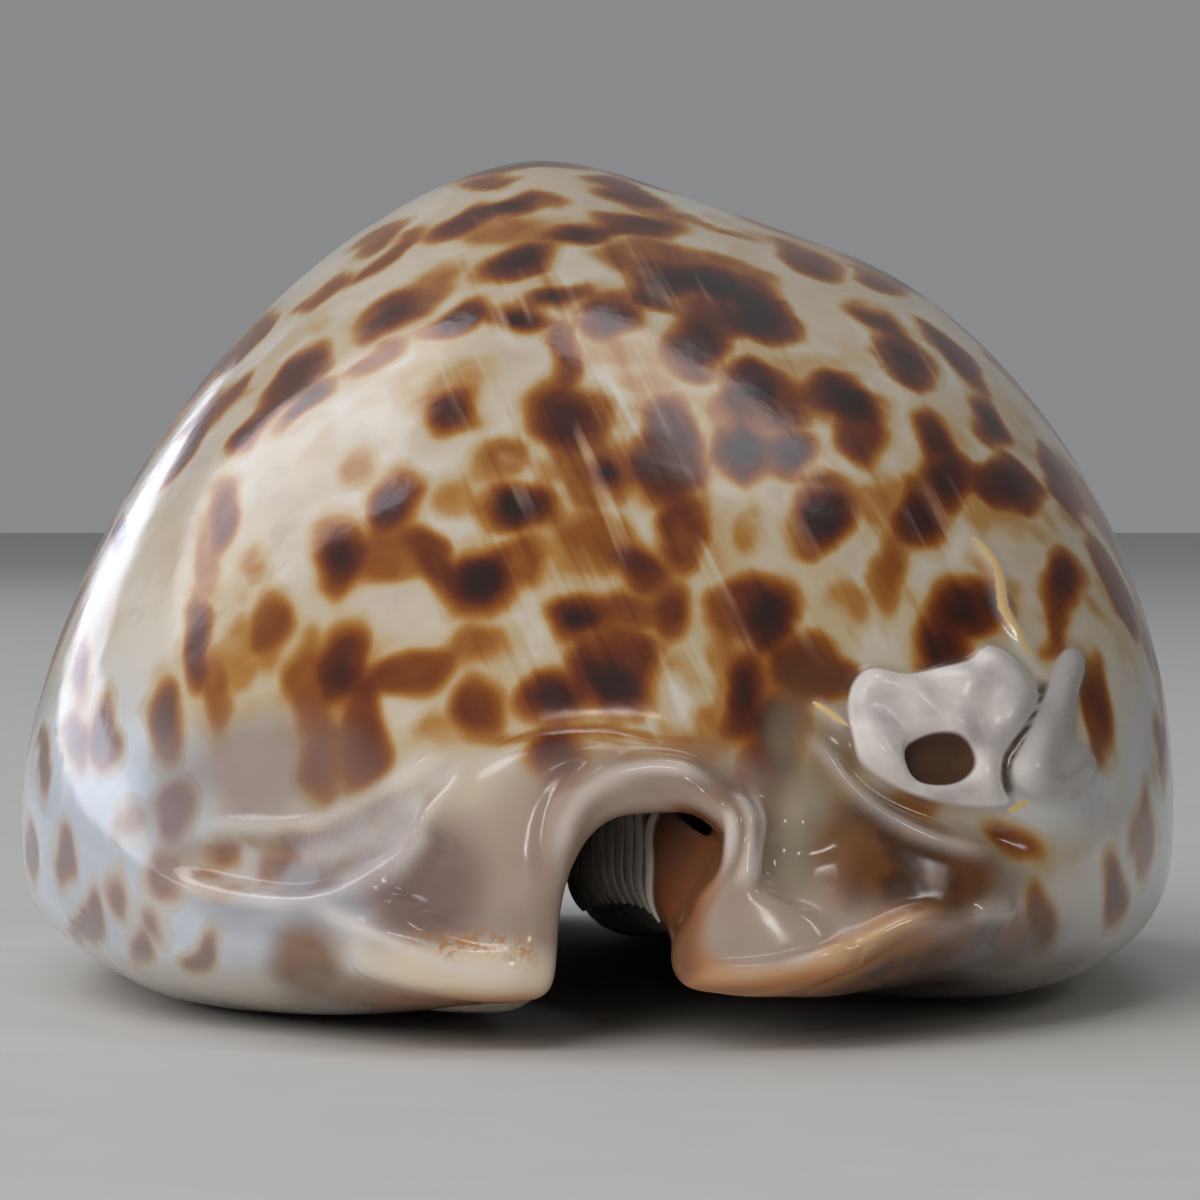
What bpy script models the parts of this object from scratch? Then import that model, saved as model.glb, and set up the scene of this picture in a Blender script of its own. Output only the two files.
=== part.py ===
"""A tiger cowrie shell, modelled as the one hollow piece that it grew as.

The tables are in millimetres and the scene in metres. +Z is up and the shell rests on its base at Z = 0.
Its long axis is Y, with the front (siphonal) end at -Y and the hinder end at +Y.
The outer lip is on the -X side of the slit, and the inner lip, which the shell coils round, on the +X side.

The wall is a loft through cross-sections. Each one is a closed loop made of two paths that share their ends,
the two margins: the back goes over the top, and the underside goes along the base, round the outer lip into
the slit, over the inside of the hollow, down the inner lip and along the base again.
"""

import bmesh
import bpy
import numpy as np

MM = 0.001
LENGTH = 80.0
WIDTH = 57.5
HEIGHT = 41.4

SHELL_COLOUR = (0.60, 0.42, 0.25, 1.0)
SHELL_ROUGHNESS = 0.15

# Steps along each stretch of half a cross-section, from a margin to its middle, and the rings along the shell.
BASE_STEPS = 11
LIP_STEPS = 3
FOLD_STEPS = (1, 1, 2, 2, 1, 2, 1)
VAULT_STEPS = 5
RINGS = 37
RIM_ANGLES = (40.0, 70.0, 90.0)

# How sharply the base turns up beside the slit, and the angle where the vault takes over from the floor.
LIFT_POWER = 6
VAULT_START = 14.0

# The shell's cross-sections, a column each from the front rim to the hinder rim.
# A ring leans: its feet are at y_base and its crest is at y_crest.
SECTIONS = {
    "y_base": (-40.0, -38.6, -35.0, -28.0, -16.0, 0.0, 14.0, 25.5, 34.0, 38.6, 40.0),
    "y_crest": (-36.8, -35.7, -32.4, -26.2, -15.5, 0.5, 14.0, 24.8, 32.2, 36.2, 37.4),
    "crest_x": (1.0, 0.7, -0.4, -1.7, -2.6, -2.75, -2.4, -1.4, 0.0, 1.4, 1.8),
    "crest_z": (14.0, 16.0, 20.4, 27.2, 35.4, 42.2, 40.8, 34.4, 25.4, 17.4, 13.8),
    "outer_side": (10.8, 12.6, 16.8, 22.4, 27.2, 28.65, 27.7, 24.0, 17.8, 12.4, 10.2),
    "inner_side": (11.3, 13.2, 17.4, 22.8, 27.5, 28.85, 28.0, 24.6, 18.6, 13.8, 11.8),
    "side_z": (4.2, 4.8, 6.2, 8.0, 9.2, 9.5, 9.2, 8.0, 6.2, 4.8, 4.2),
    "base_z": (2.3, 2.0, 1.3, 0.3, -0.5, -0.6, -0.6, -0.5, 0.2, 1.2, 1.7),
    # How full the back is on each side: across the crest, and up from the margin. Under 1 the flank is hollow.
    "outer_across": (3.2, 2.7, 2.1, 1.8, 1.7, 1.65, 1.7, 1.85, 2.1, 2.3, 2.5),
    "inner_across": (3.0, 2.5, 2.1, 1.95, 1.9, 1.88, 1.9, 1.95, 2.1, 2.3, 2.5),
    "outer_up": (0.85, 1.05, 1.35, 1.5, 1.6, 1.65, 1.7, 1.65, 1.4, 1.0, 0.75),
    "inner_up": (0.62, 0.85, 1.35, 1.85, 2.1, 2.15, 2.1, 1.9, 1.55, 1.05, 0.75),
    "base_corner": (2.0, 2.2, 2.6, 3.0, 3.3, 3.4, 3.4, 3.2, 2.8, 2.2, 2.0),
    # The slit, and how each lip is set up from the base, rounded over, and folded into the hollow.
    "slit_x": (0.8, 0.6, 0.2, -1.0, -2.6, -3.6, -3.4, -2.2, 0.0, 1.6, 2.0),
    "slit_half": (2.4, 2.4, 2.5, 2.6, 2.6, 2.6, 2.6, 2.7, 2.8, 2.8, 2.8),
    "outer_lift": (0.0, 0.2, 0.5, 0.8, 0.9, 0.8, 0.6, 0.5, 0.3, 0.1, 0.0),
    "inner_lift": (0.4, 1.4, 2.8, 4.0, 4.0, 2.6, 1.6, 1.0, 0.6, 0.3, 0.2),
    "outer_round": (1.2, 1.4, 1.7, 1.9, 2.0, 2.0, 2.0, 2.0, 1.8, 1.4, 1.2),
    "inner_round": (1.3, 1.8, 2.6, 3.2, 3.4, 3.2, 3.0, 2.6, 2.2, 1.6, 1.3),
    "outer_fold": (7.4, 7.8, 8.2, 8.4, 8.4, 8.2, 8.0, 8.0, 7.6, 7.0, 6.8),
    "inner_fold": (8.6, 9.2, 11.0, 13.0, 14.0, 14.0, 13.4, 12.0, 9.6, 8.0, 7.6),
    "fold_round": (0.6, 0.7, 1.1, 1.7, 2.0, 2.0, 2.0, 1.9, 1.5, 0.9, 0.6),
    "floor_z": (6.2, 6.2, 5.4, 4.6, 4.1, 4.0, 4.0, 4.2, 4.8, 5.4, 5.4),
    "side_wall": (4.6, 4.2, 3.5, 2.8, 2.4, 2.2, 2.3, 2.6, 3.3, 4.2, 4.6),
    "crest_wall": (2.9, 2.8, 2.4, 2.0, 1.7, 1.6, 1.7, 2.0, 2.4, 2.8, 2.9),
    "arch_x": (2.4, 2.0, 1.0, -0.6, -2.4, -3.2, -2.8, -1.8, 0.2, 1.7, 2.0),
    "arch_z": (10.7, 11.6, 14.4, 20.0, 28.0, 34.0, 33.0, 27.0, 18.6, 12.8, 10.8),
    "hollow": (0.0, 0.12, 0.5, 0.92, 1.0, 1.0, 1.0, 0.94, 0.55, 0.14, 0.0),
}


def smooth_between(values, at):
    """A smooth curve through values at 0, 1, 2 and so on, read at the positions in at."""
    values = np.asarray(values, float)
    slopes = np.gradient(values, axis=0)
    first = np.clip(np.floor(at).astype(int), 0, len(values) - 2)
    f = at - first
    if values.ndim > 1:
        f = f[:, None]
    start = values[first] * (1 + 2 * f) * (1 - f) ** 2 + slopes[first] * f * (1 - f) ** 2
    end = values[first + 1] * f**2 * (3 - 2 * f) + slopes[first + 1] * f**2 * (f - 1)
    return start + end


def power_arc(steps, across, up, start=0.0):
    """A quarter of a superellipse from (1, 0) to (0, 1), or its part above a start angle, as two arrays."""
    angle = np.linspace(np.radians(start), np.pi / 2, steps + 1)
    return np.cos(angle) ** (2 / across), np.sin(angle) ** (2 / up)


def on_side(section, name, side):
    """A value that differs between the outer lip's side and the inner lip's."""
    return section[("inner_" if side > 0 else "outer_") + name]


def inner_steps():
    return sum(FOLD_STEPS) + VAULT_STEPS


def half_steps():
    return BASE_STEPS + LIP_STEPS + inner_steps()


def half_back(section, side):
    """From the margin on one side up to the crest."""
    margin = side * on_side(section, "side", side)
    across, rise = on_side(section, "across", side), on_side(section, "up", side)
    out, up = power_arc(half_steps(), across, rise)
    x = section["crest_x"] + (margin - section["crest_x"]) * out
    z = section["side_z"] + (section["crest_z"] - section["side_z"]) * up
    return np.stack([x, z], axis=1)


def lip_start(section, side):
    """Where the base ends and the lip's rounded edge begins."""
    reach = section["slit_half"] + on_side(section, "round", side)
    x = section["slit_x"] + side * reach
    z = max(section["base_z"] + on_side(section, "lift", side), 0.0)
    return x, z


def half_base(section, side):
    """From the margin along the base to the lip. It is flat where it would dip below the ground."""
    margin = side * on_side(section, "side", side)
    lip, _ = lip_start(section, side)
    out, up = power_arc(BASE_STEPS, section["base_corner"], section["base_corner"])
    z = section["base_z"] + (section["side_z"] - section["base_z"]) * (1 - up)
    near = 1 - out
    rise = near**LIFT_POWER * (LIFT_POWER + 1 - LIFT_POWER * near)
    z += on_side(section, "lift", side) * rise
    return np.stack([lip + (margin - lip) * out, np.maximum(z, 0.0)], axis=1)


def half_lip(section, side):
    """The lip's rounded edge, from the base into the slit."""
    x_start, z_start = lip_start(section, side)
    r = on_side(section, "round", side)
    angle = np.linspace(0.0, np.pi / 2, LIP_STEPS + 1)
    x = x_start - side * r * np.sin(angle)
    z = z_start + r * (1 - np.cos(angle))
    return np.stack([x, z], axis=1)


def half_vault(section, side):
    """The hollow's side and roof, as far in from the back as the wall is thick."""
    inside = side * (on_side(section, "side", side) - section["side_wall"])
    top = section["crest_z"] - section["crest_wall"]
    across, rise = on_side(section, "across", side), on_side(section, "up", side)
    out, up = power_arc(VAULT_STEPS, across, rise, VAULT_START)
    x = section["crest_x"] + (inside - section["crest_x"]) * out
    z = section["side_z"] + (top - section["side_z"]) * up
    return np.stack([x, z], axis=1)


def half_fold(section, side, foot, end):
    """From the top of the lip up the slit's wall, over its rolled edge, and along the floor to the hollow's side."""
    near = section["slit_x"] + side * section["slit_half"]
    fold, r = on_side(section, "fold", side), section["fold_round"]
    floor = section["floor_z"]
    points = [
        tuple(foot),
        (near + side * 0.1, 0.5 * (foot[1] + fold - r)),
        (near + side * 0.1, fold - r),
        (near + side * r, fold),
        (near + side * 2 * r, fold - r),
        (near + side * (2 * r + 1.4), floor + 0.6),
        (end[0] - side * 2.4, floor + 0.6),
        tuple(end),
    ]
    ends = np.repeat(np.arange(len(FOLD_STEPS)), FOLD_STEPS)
    steps = np.concatenate([np.arange(n) / n for n in FOLD_STEPS])
    return smooth_between(points, ends + steps)


def half_hollow(section, side, foot):
    """From the top of the lip round the whole inside to the crest."""
    vault = half_vault(section, side)
    return np.concatenate([half_fold(section, side, foot, vault[0]), vault])


def half_canal(section, side, foot):
    """The plain arch of the canal at either end, with as many points as the hollow."""
    out, up = power_arc(inner_steps(), 2.4, 2.4)
    x = section["arch_x"] + (foot[0] - section["arch_x"]) * out
    z = foot[1] + (section["arch_z"] - foot[1]) * up
    return np.stack([x, z], axis=1)


def half_underside(section, side):
    """From the margin along the base, up through the slit and round the inside to the crest."""
    base = half_base(section, side)
    lip = half_lip(section, side)
    hollow = half_hollow(section, side, lip[-1])
    canal = half_canal(section, side, lip[-1])
    inside = canal + section["hollow"] * (hollow - canal)
    return np.concatenate([base[:-1], lip[:-1], inside])


def whole(half, section):
    """The two halves joined, outer lip's side first."""
    left, right = half(section, -1), half(section, 1)
    middle = 0.5 * (left[-1] + right[-1])
    return np.concatenate([left[:-1], [middle], right[-2::-1]])


def leaning(path, section):
    """A path's (x, z) as (x, y, z), leaning from the feet's y to the crest's."""
    base, crest = section["base_z"], section["crest_z"]
    height = np.clip((path[:, 1] - base) / (crest - base), 0.0, 1.0)
    y = section["y_base"] + (section["y_crest"] - section["y_base"]) * height
    return np.stack([path[:, 0], y, path[:, 1]], axis=1)


def rings():
    """The back and the underside of each ring along the shell, front first."""
    places = np.linspace(0.0, len(SECTIONS["y_base"]) - 1, RINGS)
    table = {name: smooth_between(values, places) for name, values in SECTIONS.items()}
    found = []
    for i in range(RINGS):
        section = {name: values[i] for name, values in table.items()}
        back = leaning(whole(half_back, section), section)
        under = leaning(whole(half_underside, section), section)
        found.append((back, under))
    return found


def rounded_rim(back, under, forward):
    """Rings that close the wall at an end, drawn together to its middle line and bulging along Y."""
    middle = 0.5 * (back + under)
    thick = np.linalg.norm(back - under, axis=1)
    bulge = np.minimum(0.5 * thick, 1.4)
    for degrees in RIM_ANGLES:
        angle = np.radians(degrees)
        out = middle + [0.0, forward, 0.0] * (bulge * np.sin(angle))[:, None]
        yield out + (back - middle) * np.cos(angle), out + (under - middle) * np.cos(angle)


def all_rings():
    body = rings()
    front = list(rounded_rim(*body[0], -1.0))
    hind = list(rounded_rim(*body[-1], 1.0))
    return front[::-1] + body + hind


def fitted(loops):
    """The points moved and scaled a little, so that the shell has exactly its driving dimensions."""
    points = np.concatenate([np.concatenate(pair) for pair in loops])
    low, high = points.min(axis=0), points.max(axis=0)
    size = np.array([WIDTH, LENGTH, HEIGHT])
    scale = size / (high - low)
    shift = np.array([0.5 * (low[0] + high[0]), 0.5 * (low[1] + high[1]), low[2]])
    return [((back - shift) * scale, (under - shift) * scale) for back, under in loops]


def lofted(loops):
    """A closed mesh through the loops. The first and last are lines, so there the two paths share points."""
    mesh = bmesh.new()
    count = len(loops[0][0])
    previous = None
    for place, (back, under) in enumerate(loops):
        closing = place in (0, len(loops) - 1)
        top = [mesh.verts.new(point * MM) for point in back]
        if closing:
            low = top
        else:
            low = [top[0]] + [mesh.verts.new(point * MM) for point in under[1:-1]] + [top[-1]]
        loop = top + low[-2:0:-1]
        if previous:
            for i in range(2 * (count - 1)):
                j = (i + 1) % len(loop)
                corners = [previous[i], previous[j], loop[j], loop[i]]
                face = list(dict.fromkeys(corners))
                if len(face) > 2:
                    mesh.faces.new(face)
        previous = loop
    bmesh.ops.triangulate(mesh, faces=mesh.faces)
    bmesh.ops.recalc_face_normals(mesh, faces=mesh.faces)
    return mesh


def shell_material():
    material = bpy.data.materials.new("shell_enamel")
    material.use_nodes = True
    surface = material.node_tree.nodes["Principled BSDF"]
    surface.inputs["Base Color"].default_value = SHELL_COLOUR
    surface.inputs["Roughness"].default_value = SHELL_ROUGHNESS
    surface.inputs["Metallic"].default_value = 0.0
    return material


def main():
    for thing in list(bpy.data.objects):
        bpy.data.objects.remove(thing, do_unlink=True)
    collection = bpy.data.collections.new("cowrie_shell")
    bpy.context.scene.collection.children.link(collection)
    mesh = lofted(fitted(all_rings()))
    data = bpy.data.meshes.new("cowrie_shell")
    mesh.to_mesh(data)
    mesh.free()
    data.shade_smooth()
    shell = bpy.data.objects.new("cowrie_shell", data)
    shell.data.materials.append(shell_material())
    collection.objects.link(shell)


main()
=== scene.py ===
import bpy
import numpy as np
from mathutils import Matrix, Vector, noise


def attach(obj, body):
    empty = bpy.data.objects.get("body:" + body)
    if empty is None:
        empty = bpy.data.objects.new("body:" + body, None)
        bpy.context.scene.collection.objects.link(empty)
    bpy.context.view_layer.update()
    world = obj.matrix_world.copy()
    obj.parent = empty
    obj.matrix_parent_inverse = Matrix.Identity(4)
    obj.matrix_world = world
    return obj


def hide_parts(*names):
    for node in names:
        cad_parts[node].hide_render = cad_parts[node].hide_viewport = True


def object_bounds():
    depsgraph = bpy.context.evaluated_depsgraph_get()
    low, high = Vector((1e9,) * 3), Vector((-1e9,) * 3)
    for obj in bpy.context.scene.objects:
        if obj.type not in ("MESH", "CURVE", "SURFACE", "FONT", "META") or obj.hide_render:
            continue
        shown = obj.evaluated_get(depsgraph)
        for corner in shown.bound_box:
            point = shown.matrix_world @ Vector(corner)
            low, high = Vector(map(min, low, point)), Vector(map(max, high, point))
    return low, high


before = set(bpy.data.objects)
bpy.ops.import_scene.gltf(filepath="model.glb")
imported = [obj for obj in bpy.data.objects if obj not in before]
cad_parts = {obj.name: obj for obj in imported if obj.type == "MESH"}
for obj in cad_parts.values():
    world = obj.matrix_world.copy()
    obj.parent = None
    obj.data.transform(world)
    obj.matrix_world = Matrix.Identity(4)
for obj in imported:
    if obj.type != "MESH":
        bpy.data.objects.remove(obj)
cad_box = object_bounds()

# The shell wall: one hollow piece of shell stone that the animal laid down itself, egg-shaped above
# and flat below, with a rolled lip on each side of the slit and an arched canal at each end. It is
# lofted through leaning cross-sections, a column of the table each, from front rim to hinder rim.
MM = 0.001
SHELL_SIZE, HALF_LENGTH = (57.4, 79.9, 41.35), 40.0
SECTIONS = {
    "y_base": (-40.0, -38.6, -35.0, -28.0, -16.0, 0.0, 14.0, 25.5, 34.0, 38.6, 40.0),
    "y_crest": (-36.8, -35.7, -32.4, -26.2, -15.5, 0.5, 14.0, 24.8, 32.2, 36.2, 37.4),
    "crest_x": (1.0, 0.7, -0.4, -1.7, -2.6, -2.75, -2.4, -1.4, 0.0, 1.4, 1.8),
    "crest_z": (14.0, 16.0, 20.4, 27.2, 35.4, 42.2, 40.8, 34.4, 25.4, 17.4, 13.8),
    "outer_side": (10.8, 12.6, 16.8, 22.4, 27.2, 28.65, 27.7, 24.0, 17.8, 12.4, 10.2),
    "inner_side": (11.3, 13.2, 17.4, 22.8, 27.5, 28.85, 28.0, 24.6, 18.6, 13.8, 11.8),
    "side_z": (4.2, 4.8, 6.2, 8.0, 9.2, 9.5, 9.2, 8.0, 6.2, 4.8, 4.2),
    "base_z": (2.3, 2.0, 1.3, 0.3, -0.5, -0.6, -0.6, -0.5, 0.2, 1.2, 1.7),
    # How full the back is on each side: across the crest, and up from the margin.
    "outer_across": (3.2, 2.7, 2.1, 1.8, 1.7, 1.65, 1.7, 1.85, 2.1, 2.3, 2.5),
    "inner_across": (3.0, 2.5, 2.1, 1.95, 1.9, 1.88, 1.9, 1.95, 2.1, 2.3, 2.5),
    "outer_up": (0.85, 1.05, 1.35, 1.5, 1.6, 1.65, 1.7, 1.65, 1.4, 1.0, 0.75),
    "inner_up": (0.62, 0.85, 1.35, 1.85, 2.1, 2.15, 2.1, 1.9, 1.55, 1.05, 0.75),
    "base_corner": (2.0, 2.2, 2.6, 3.0, 3.3, 3.4, 3.4, 3.2, 2.8, 2.2, 2.0),
    # The slit, and how each lip is set up from the base, rounded over and folded into the hollow.
    "slit_x": (0.8, 0.6, 0.2, -1.0, -2.6, -3.6, -3.4, -2.2, 0.0, 1.6, 2.0),
    "slit_half": (2.4, 2.4, 2.5, 2.6, 2.6, 2.6, 2.6, 2.7, 2.8, 2.8, 2.8),
    "outer_lift": (0.0, 0.2, 0.5, 0.8, 0.9, 0.8, 0.6, 0.5, 0.3, 0.1, 0.0),
    "inner_lift": (0.4, 1.4, 2.8, 4.0, 4.0, 2.6, 1.6, 1.0, 0.6, 0.3, 0.2),
    "outer_round": (1.2, 1.4, 1.7, 1.9, 2.0, 2.0, 2.0, 2.0, 1.8, 1.4, 1.2),
    "inner_round": (1.3, 1.8, 2.6, 3.2, 3.4, 3.2, 3.0, 2.6, 2.2, 1.6, 1.3),
    "outer_fold": (7.4, 7.8, 8.2, 8.4, 8.4, 8.2, 8.0, 8.0, 7.6, 7.0, 6.8),
    "inner_fold": (8.6, 9.2, 11.0, 13.0, 14.0, 14.0, 13.4, 12.0, 9.6, 8.0, 7.6),
    "fold_round": (0.6, 0.7, 1.1, 1.7, 2.0, 2.0, 2.0, 1.9, 1.5, 0.9, 0.6),
    "floor_z": (6.2, 6.2, 5.4, 4.6, 4.1, 4.0, 4.0, 4.2, 4.8, 5.4, 5.4),
    "side_wall": (4.6, 4.2, 3.5, 2.8, 2.4, 2.2, 2.3, 2.6, 3.3, 4.2, 4.6),
    "crest_wall": (2.9, 2.8, 2.4, 2.0, 1.7, 1.6, 1.7, 2.0, 2.4, 2.8, 2.9),
    "arch_x": (2.4, 2.0, 1.0, -0.6, -2.4, -3.2, -2.8, -1.8, 0.2, 1.7, 2.0),
    "arch_z": (10.7, 11.6, 14.4, 20.0, 28.0, 34.0, 33.0, 27.0, 18.6, 12.8, 10.8),
    "hollow": (0.0, 0.12, 0.5, 0.92, 1.0, 1.0, 1.0, 0.94, 0.55, 0.14, 0.0),
}
# Rings along the shell, and points from a margin to the crest on each side of a ring.
RINGS, HALF_POINTS = 212, 104
# Gap between rings at places along the shell, in millimetres: fine where the front end is worked
# most. The places are found by adding up the gaps over many fine cuts.
RING_GAPS = ((-40, 0.15), (-30, 0.17), (-20, 0.32), (0, 0.62), (30, 0.8), (40, 0.42))
FINE_CUTS = 2000
# The rings that close the wall at each end, how far they bulge, and how they crowd to the edge.
FRONT_RIM_RINGS, HIND_RIM_RINGS = 16, 5
RIM_BULGE, RIM_CROWDING = 1.4, 1.4
# The front canal opens like a funnel on the inner lip's side: how far, how high up, how tall, and
# its soft edges, each with its way, its start and its stretch.
FLARE, FLARE_HEIGHT, FLARE_TALL = 2.9, 9.0, 2.6
FLARE_EDGES = (("y", -33.5, -4.5), ("x", 1.2, 1.6), ("x", 12.0, -4.0))
# Steps along each stretch of half a ring. A plain pairing of these steps holds the rims together,
# and it fades out this far in from them.
FINE = 24
BASE_STEPS, LIP_STEPS, VAULT_STEPS = 11 * FINE, 3 * FINE, 5 * FINE
FOLD_STEPS = tuple(n * FINE for n in (1, 1, 2, 2, 1, 2, 1))
INNER_STEPS = sum(FOLD_STEPS) + VAULT_STEPS
HALF_STEPS = BASE_STEPS + LIP_STEPS + INNER_STEPS
PLAIN_REACH = 4.0
# How closely points are spent on each stretch of the underside. Nobody sees the hollow's roof.
BASE_EFFORT, FOLD_EFFORT, VAULT_EFFORT = 1.0, 0.75, 0.13
# How far the slit's wall leans, how far past the fold's roll it comes down and how far above the
# hollow's floor, how near the hollow's side it turns up, and how far up that side the roof starts.
WALL_LEAN, FOLD_OUT, FLOOR_GAP, TURN_UP, VAULT_START = 0.1, 1.4, 0.6, 2.4, 14.0
# How full the canal's arch is, where the two sides of the underside meet.
CANAL_FULLNESS = 2.4
# Each end is rubbed smooth, and then drawn out to its full length: where along, over what stretch,
# and in how many rounds.
END_RUB, END_ROUNDS, END_DRAWN = (34.5, 3.0), 24, (30.0, 8.0)
# Soft dents and swellings: the middle and half width across, the middle and half length along, the
# height gained, and where up the shell that starts and over what stretch.
DENTS = (
    ((7.2, 6.5), (2.0, 20.0), -1.02, (24.0, 8.0)),
    ((14.5, 4.6), (-27.5, 9.0), 1.0, (9.5, -8.0)),
    ((-25.0, 3.5), (-14.0, 9.0), 0.6, (8.0, -6.0)),
)
DENT_FULLNESS = 2.6


def smooth_between(values, at):
    """A smooth curve through values at 0, 1, 2 and so on, read at the positions in at."""
    values = np.asarray(values, float)
    slopes = np.gradient(values, axis=0)
    first = np.clip(np.floor(at).astype(int), 0, len(values) - 2)
    f = at - first
    if values.ndim > 1:
        f = f[:, None]
    start = values[first] * (1 + 2 * f) * (1 - f) ** 2 + slopes[first] * f * (1 - f) ** 2
    end = values[first + 1] * f**2 * (3 - 2 * f) + slopes[first + 1] * f**2 * (f - 1)
    return start + end


def eased(values):
    """Nothing below 0, all above 1, and smooth between."""
    values = np.clip(values, 0.0, 1.0)
    return values * values * (3.0 - 2.0 * values)


def rise(values, start, stretch):
    """Nothing at the start, all of it after the stretch. A stretch below 0 runs the other way."""
    return eased((values - start) / stretch)


def soft_edges(ways, edges):
    """Where several rises overlap: each edge has its way, its start and its stretch."""
    return np.prod([rise(ways[way], start, stretch) for way, start, stretch in edges], axis=0)


def power_arc(steps, across, up, start=0.0):
    """A quarter of a superellipse from (1, 0) to (0, 1), or its part above a start angle."""
    angle = np.linspace(np.radians(start), np.pi / 2, steps + 1)
    return np.cos(angle) ** (2 / across), np.sin(angle) ** (2 / up)


def on_side(section, name, side):
    """A value that differs between the outer lip's side and the inner lip's."""
    return section[("inner_" if side > 0 else "outer_") + name]


def half_back(section, side):
    """From the margin on one side up to the crest."""
    margin = side * on_side(section, "side", side)
    across, rise_up = on_side(section, "across", side), on_side(section, "up", side)
    out, up = power_arc(HALF_STEPS, across, rise_up)
    x = section["crest_x"] + (margin - section["crest_x"]) * out
    z = section["side_z"] + (section["crest_z"] - section["side_z"]) * up
    return np.stack([x, z], axis=1)


def lip_foot(section, side):
    """Where the base ends and the lip's rounded edge begins."""
    reach = section["slit_half"] + on_side(section, "round", side)
    x = section["slit_x"] + side * reach
    return x, max(section["base_z"] + on_side(section, "lift", side), 0.0)


def half_base(section, side):
    """From the margin along the base to the lip, flat where it would dip below the ground."""
    margin = side * on_side(section, "side", side)
    lip, _ = lip_foot(section, side)
    out, up = power_arc(BASE_STEPS, section["base_corner"], section["base_corner"])
    z = section["base_z"] + (section["side_z"] - section["base_z"]) * (1 - up)
    near = 1 - out
    z += on_side(section, "lift", side) * near**6 * (7 - 6 * near)
    return np.stack([lip + (margin - lip) * out, np.maximum(z, 0.0)], axis=1)


def half_lip(section, side):
    """The lip's rounded edge, from the base into the slit."""
    x_start, z_start = lip_foot(section, side)
    r = on_side(section, "round", side)
    angle = np.linspace(0.0, np.pi / 2, LIP_STEPS + 1)
    x = x_start - side * r * np.sin(angle)
    return np.stack([x, z_start + r * (1 - np.cos(angle))], axis=1)


def half_vault(section, side):
    """The hollow's side and roof, as far in from the back as the wall is thick."""
    inside = side * (on_side(section, "side", side) - section["side_wall"])
    top = section["crest_z"] - section["crest_wall"]
    across, rise_up = on_side(section, "across", side), on_side(section, "up", side)
    out, up = power_arc(VAULT_STEPS, across, rise_up, VAULT_START)
    x = section["crest_x"] + (inside - section["crest_x"]) * out
    return np.stack([x, section["side_z"] + (top - section["side_z"]) * up], axis=1)


def half_fold(section, side, foot, end):
    """From the top of the lip up the slit's wall, over its rolled edge, to the hollow's side."""
    near = section["slit_x"] + side * section["slit_half"]
    fold, r = on_side(section, "fold", side), section["fold_round"]
    floor = section["floor_z"] + FLOOR_GAP
    points = [
        tuple(foot),
        (near + side * WALL_LEAN, 0.5 * (foot[1] + fold - r)),
        (near + side * WALL_LEAN, fold - r),
        (near + side * r, fold),
        (near + side * 2 * r, fold - r),
        (near + side * (2 * r + FOLD_OUT), floor),
        (end[0] - side * TURN_UP, floor),
        tuple(end),
    ]
    ends = np.repeat(np.arange(len(FOLD_STEPS)), FOLD_STEPS)
    steps = np.concatenate([np.arange(n) / n for n in FOLD_STEPS])
    return smooth_between(points, ends + steps)


def half_underside(section, side):
    """From the margin along the base, up through the slit and round the inside to the crest."""
    base, lip = half_base(section, side), half_lip(section, side)
    vault = half_vault(section, side)
    hollow = np.concatenate([half_fold(section, side, lip[-1], vault[0]), vault])
    out, up = power_arc(INNER_STEPS, CANAL_FULLNESS, CANAL_FULLNESS)
    x = section["arch_x"] + (lip[-1][0] - section["arch_x"]) * out
    canal = np.stack([x, lip[-1][1] + (section["arch_z"] - lip[-1][1]) * up], axis=1)
    return np.concatenate([base[:-1], lip[:-1], canal + section["hollow"] * (hollow - canal)])


def spread(path, effort, plain):
    """A half path's points, shared out by effort, or by plain steps where plain is 1."""
    gaps = np.linalg.norm(np.diff(path, axis=0), axis=1) * effort + 1e-6
    spent = np.concatenate([[0.0], np.cumsum(gaps)])
    steps = np.arange(len(path))
    even = np.interp(np.linspace(0.0, spent[-1], HALF_POINTS + 1), spent, steps)
    at = even + plain * (np.linspace(0.0, len(path) - 1, HALF_POINTS + 1) - even)
    return np.stack([np.interp(at, steps, path[:, k]) for k in range(2)], axis=1), at


def whole(left, right):
    """Two half paths joined, the outer lip's side first."""
    return np.concatenate([left[:-1], 0.5 * (left[-1:] + right[-1:]), right[-2::-1]])


def leaning(path, section):
    """A path's (x, z) as (x, y, z), leaning from the feet's y to the crest's."""
    base, crest = section["base_z"], section["crest_z"]
    height = np.clip((path[:, 1] - base) / (crest - base), 0.0, 1.0)
    y = section["y_base"] + (section["y_crest"] - section["y_base"]) * height
    return np.stack([path[:, 0], y, path[:, 1]], axis=1)


def places_along():
    """Fine places along the table, and how far along the shell each one is."""
    dense = np.linspace(0.0, len(SECTIONS["y_base"]) - 1, FINE_CUTS)
    return dense, smooth_between(SECTIONS["y_base"], dense)


def sections_at(columns):
    """The cross-sections at some places along the table, one dictionary of sizes each."""
    table = {name: smooth_between(values, columns) for name, values in SECTIONS.items()}
    return [{name: values[i] for name, values in table.items()} for i in range(len(columns))]


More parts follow.
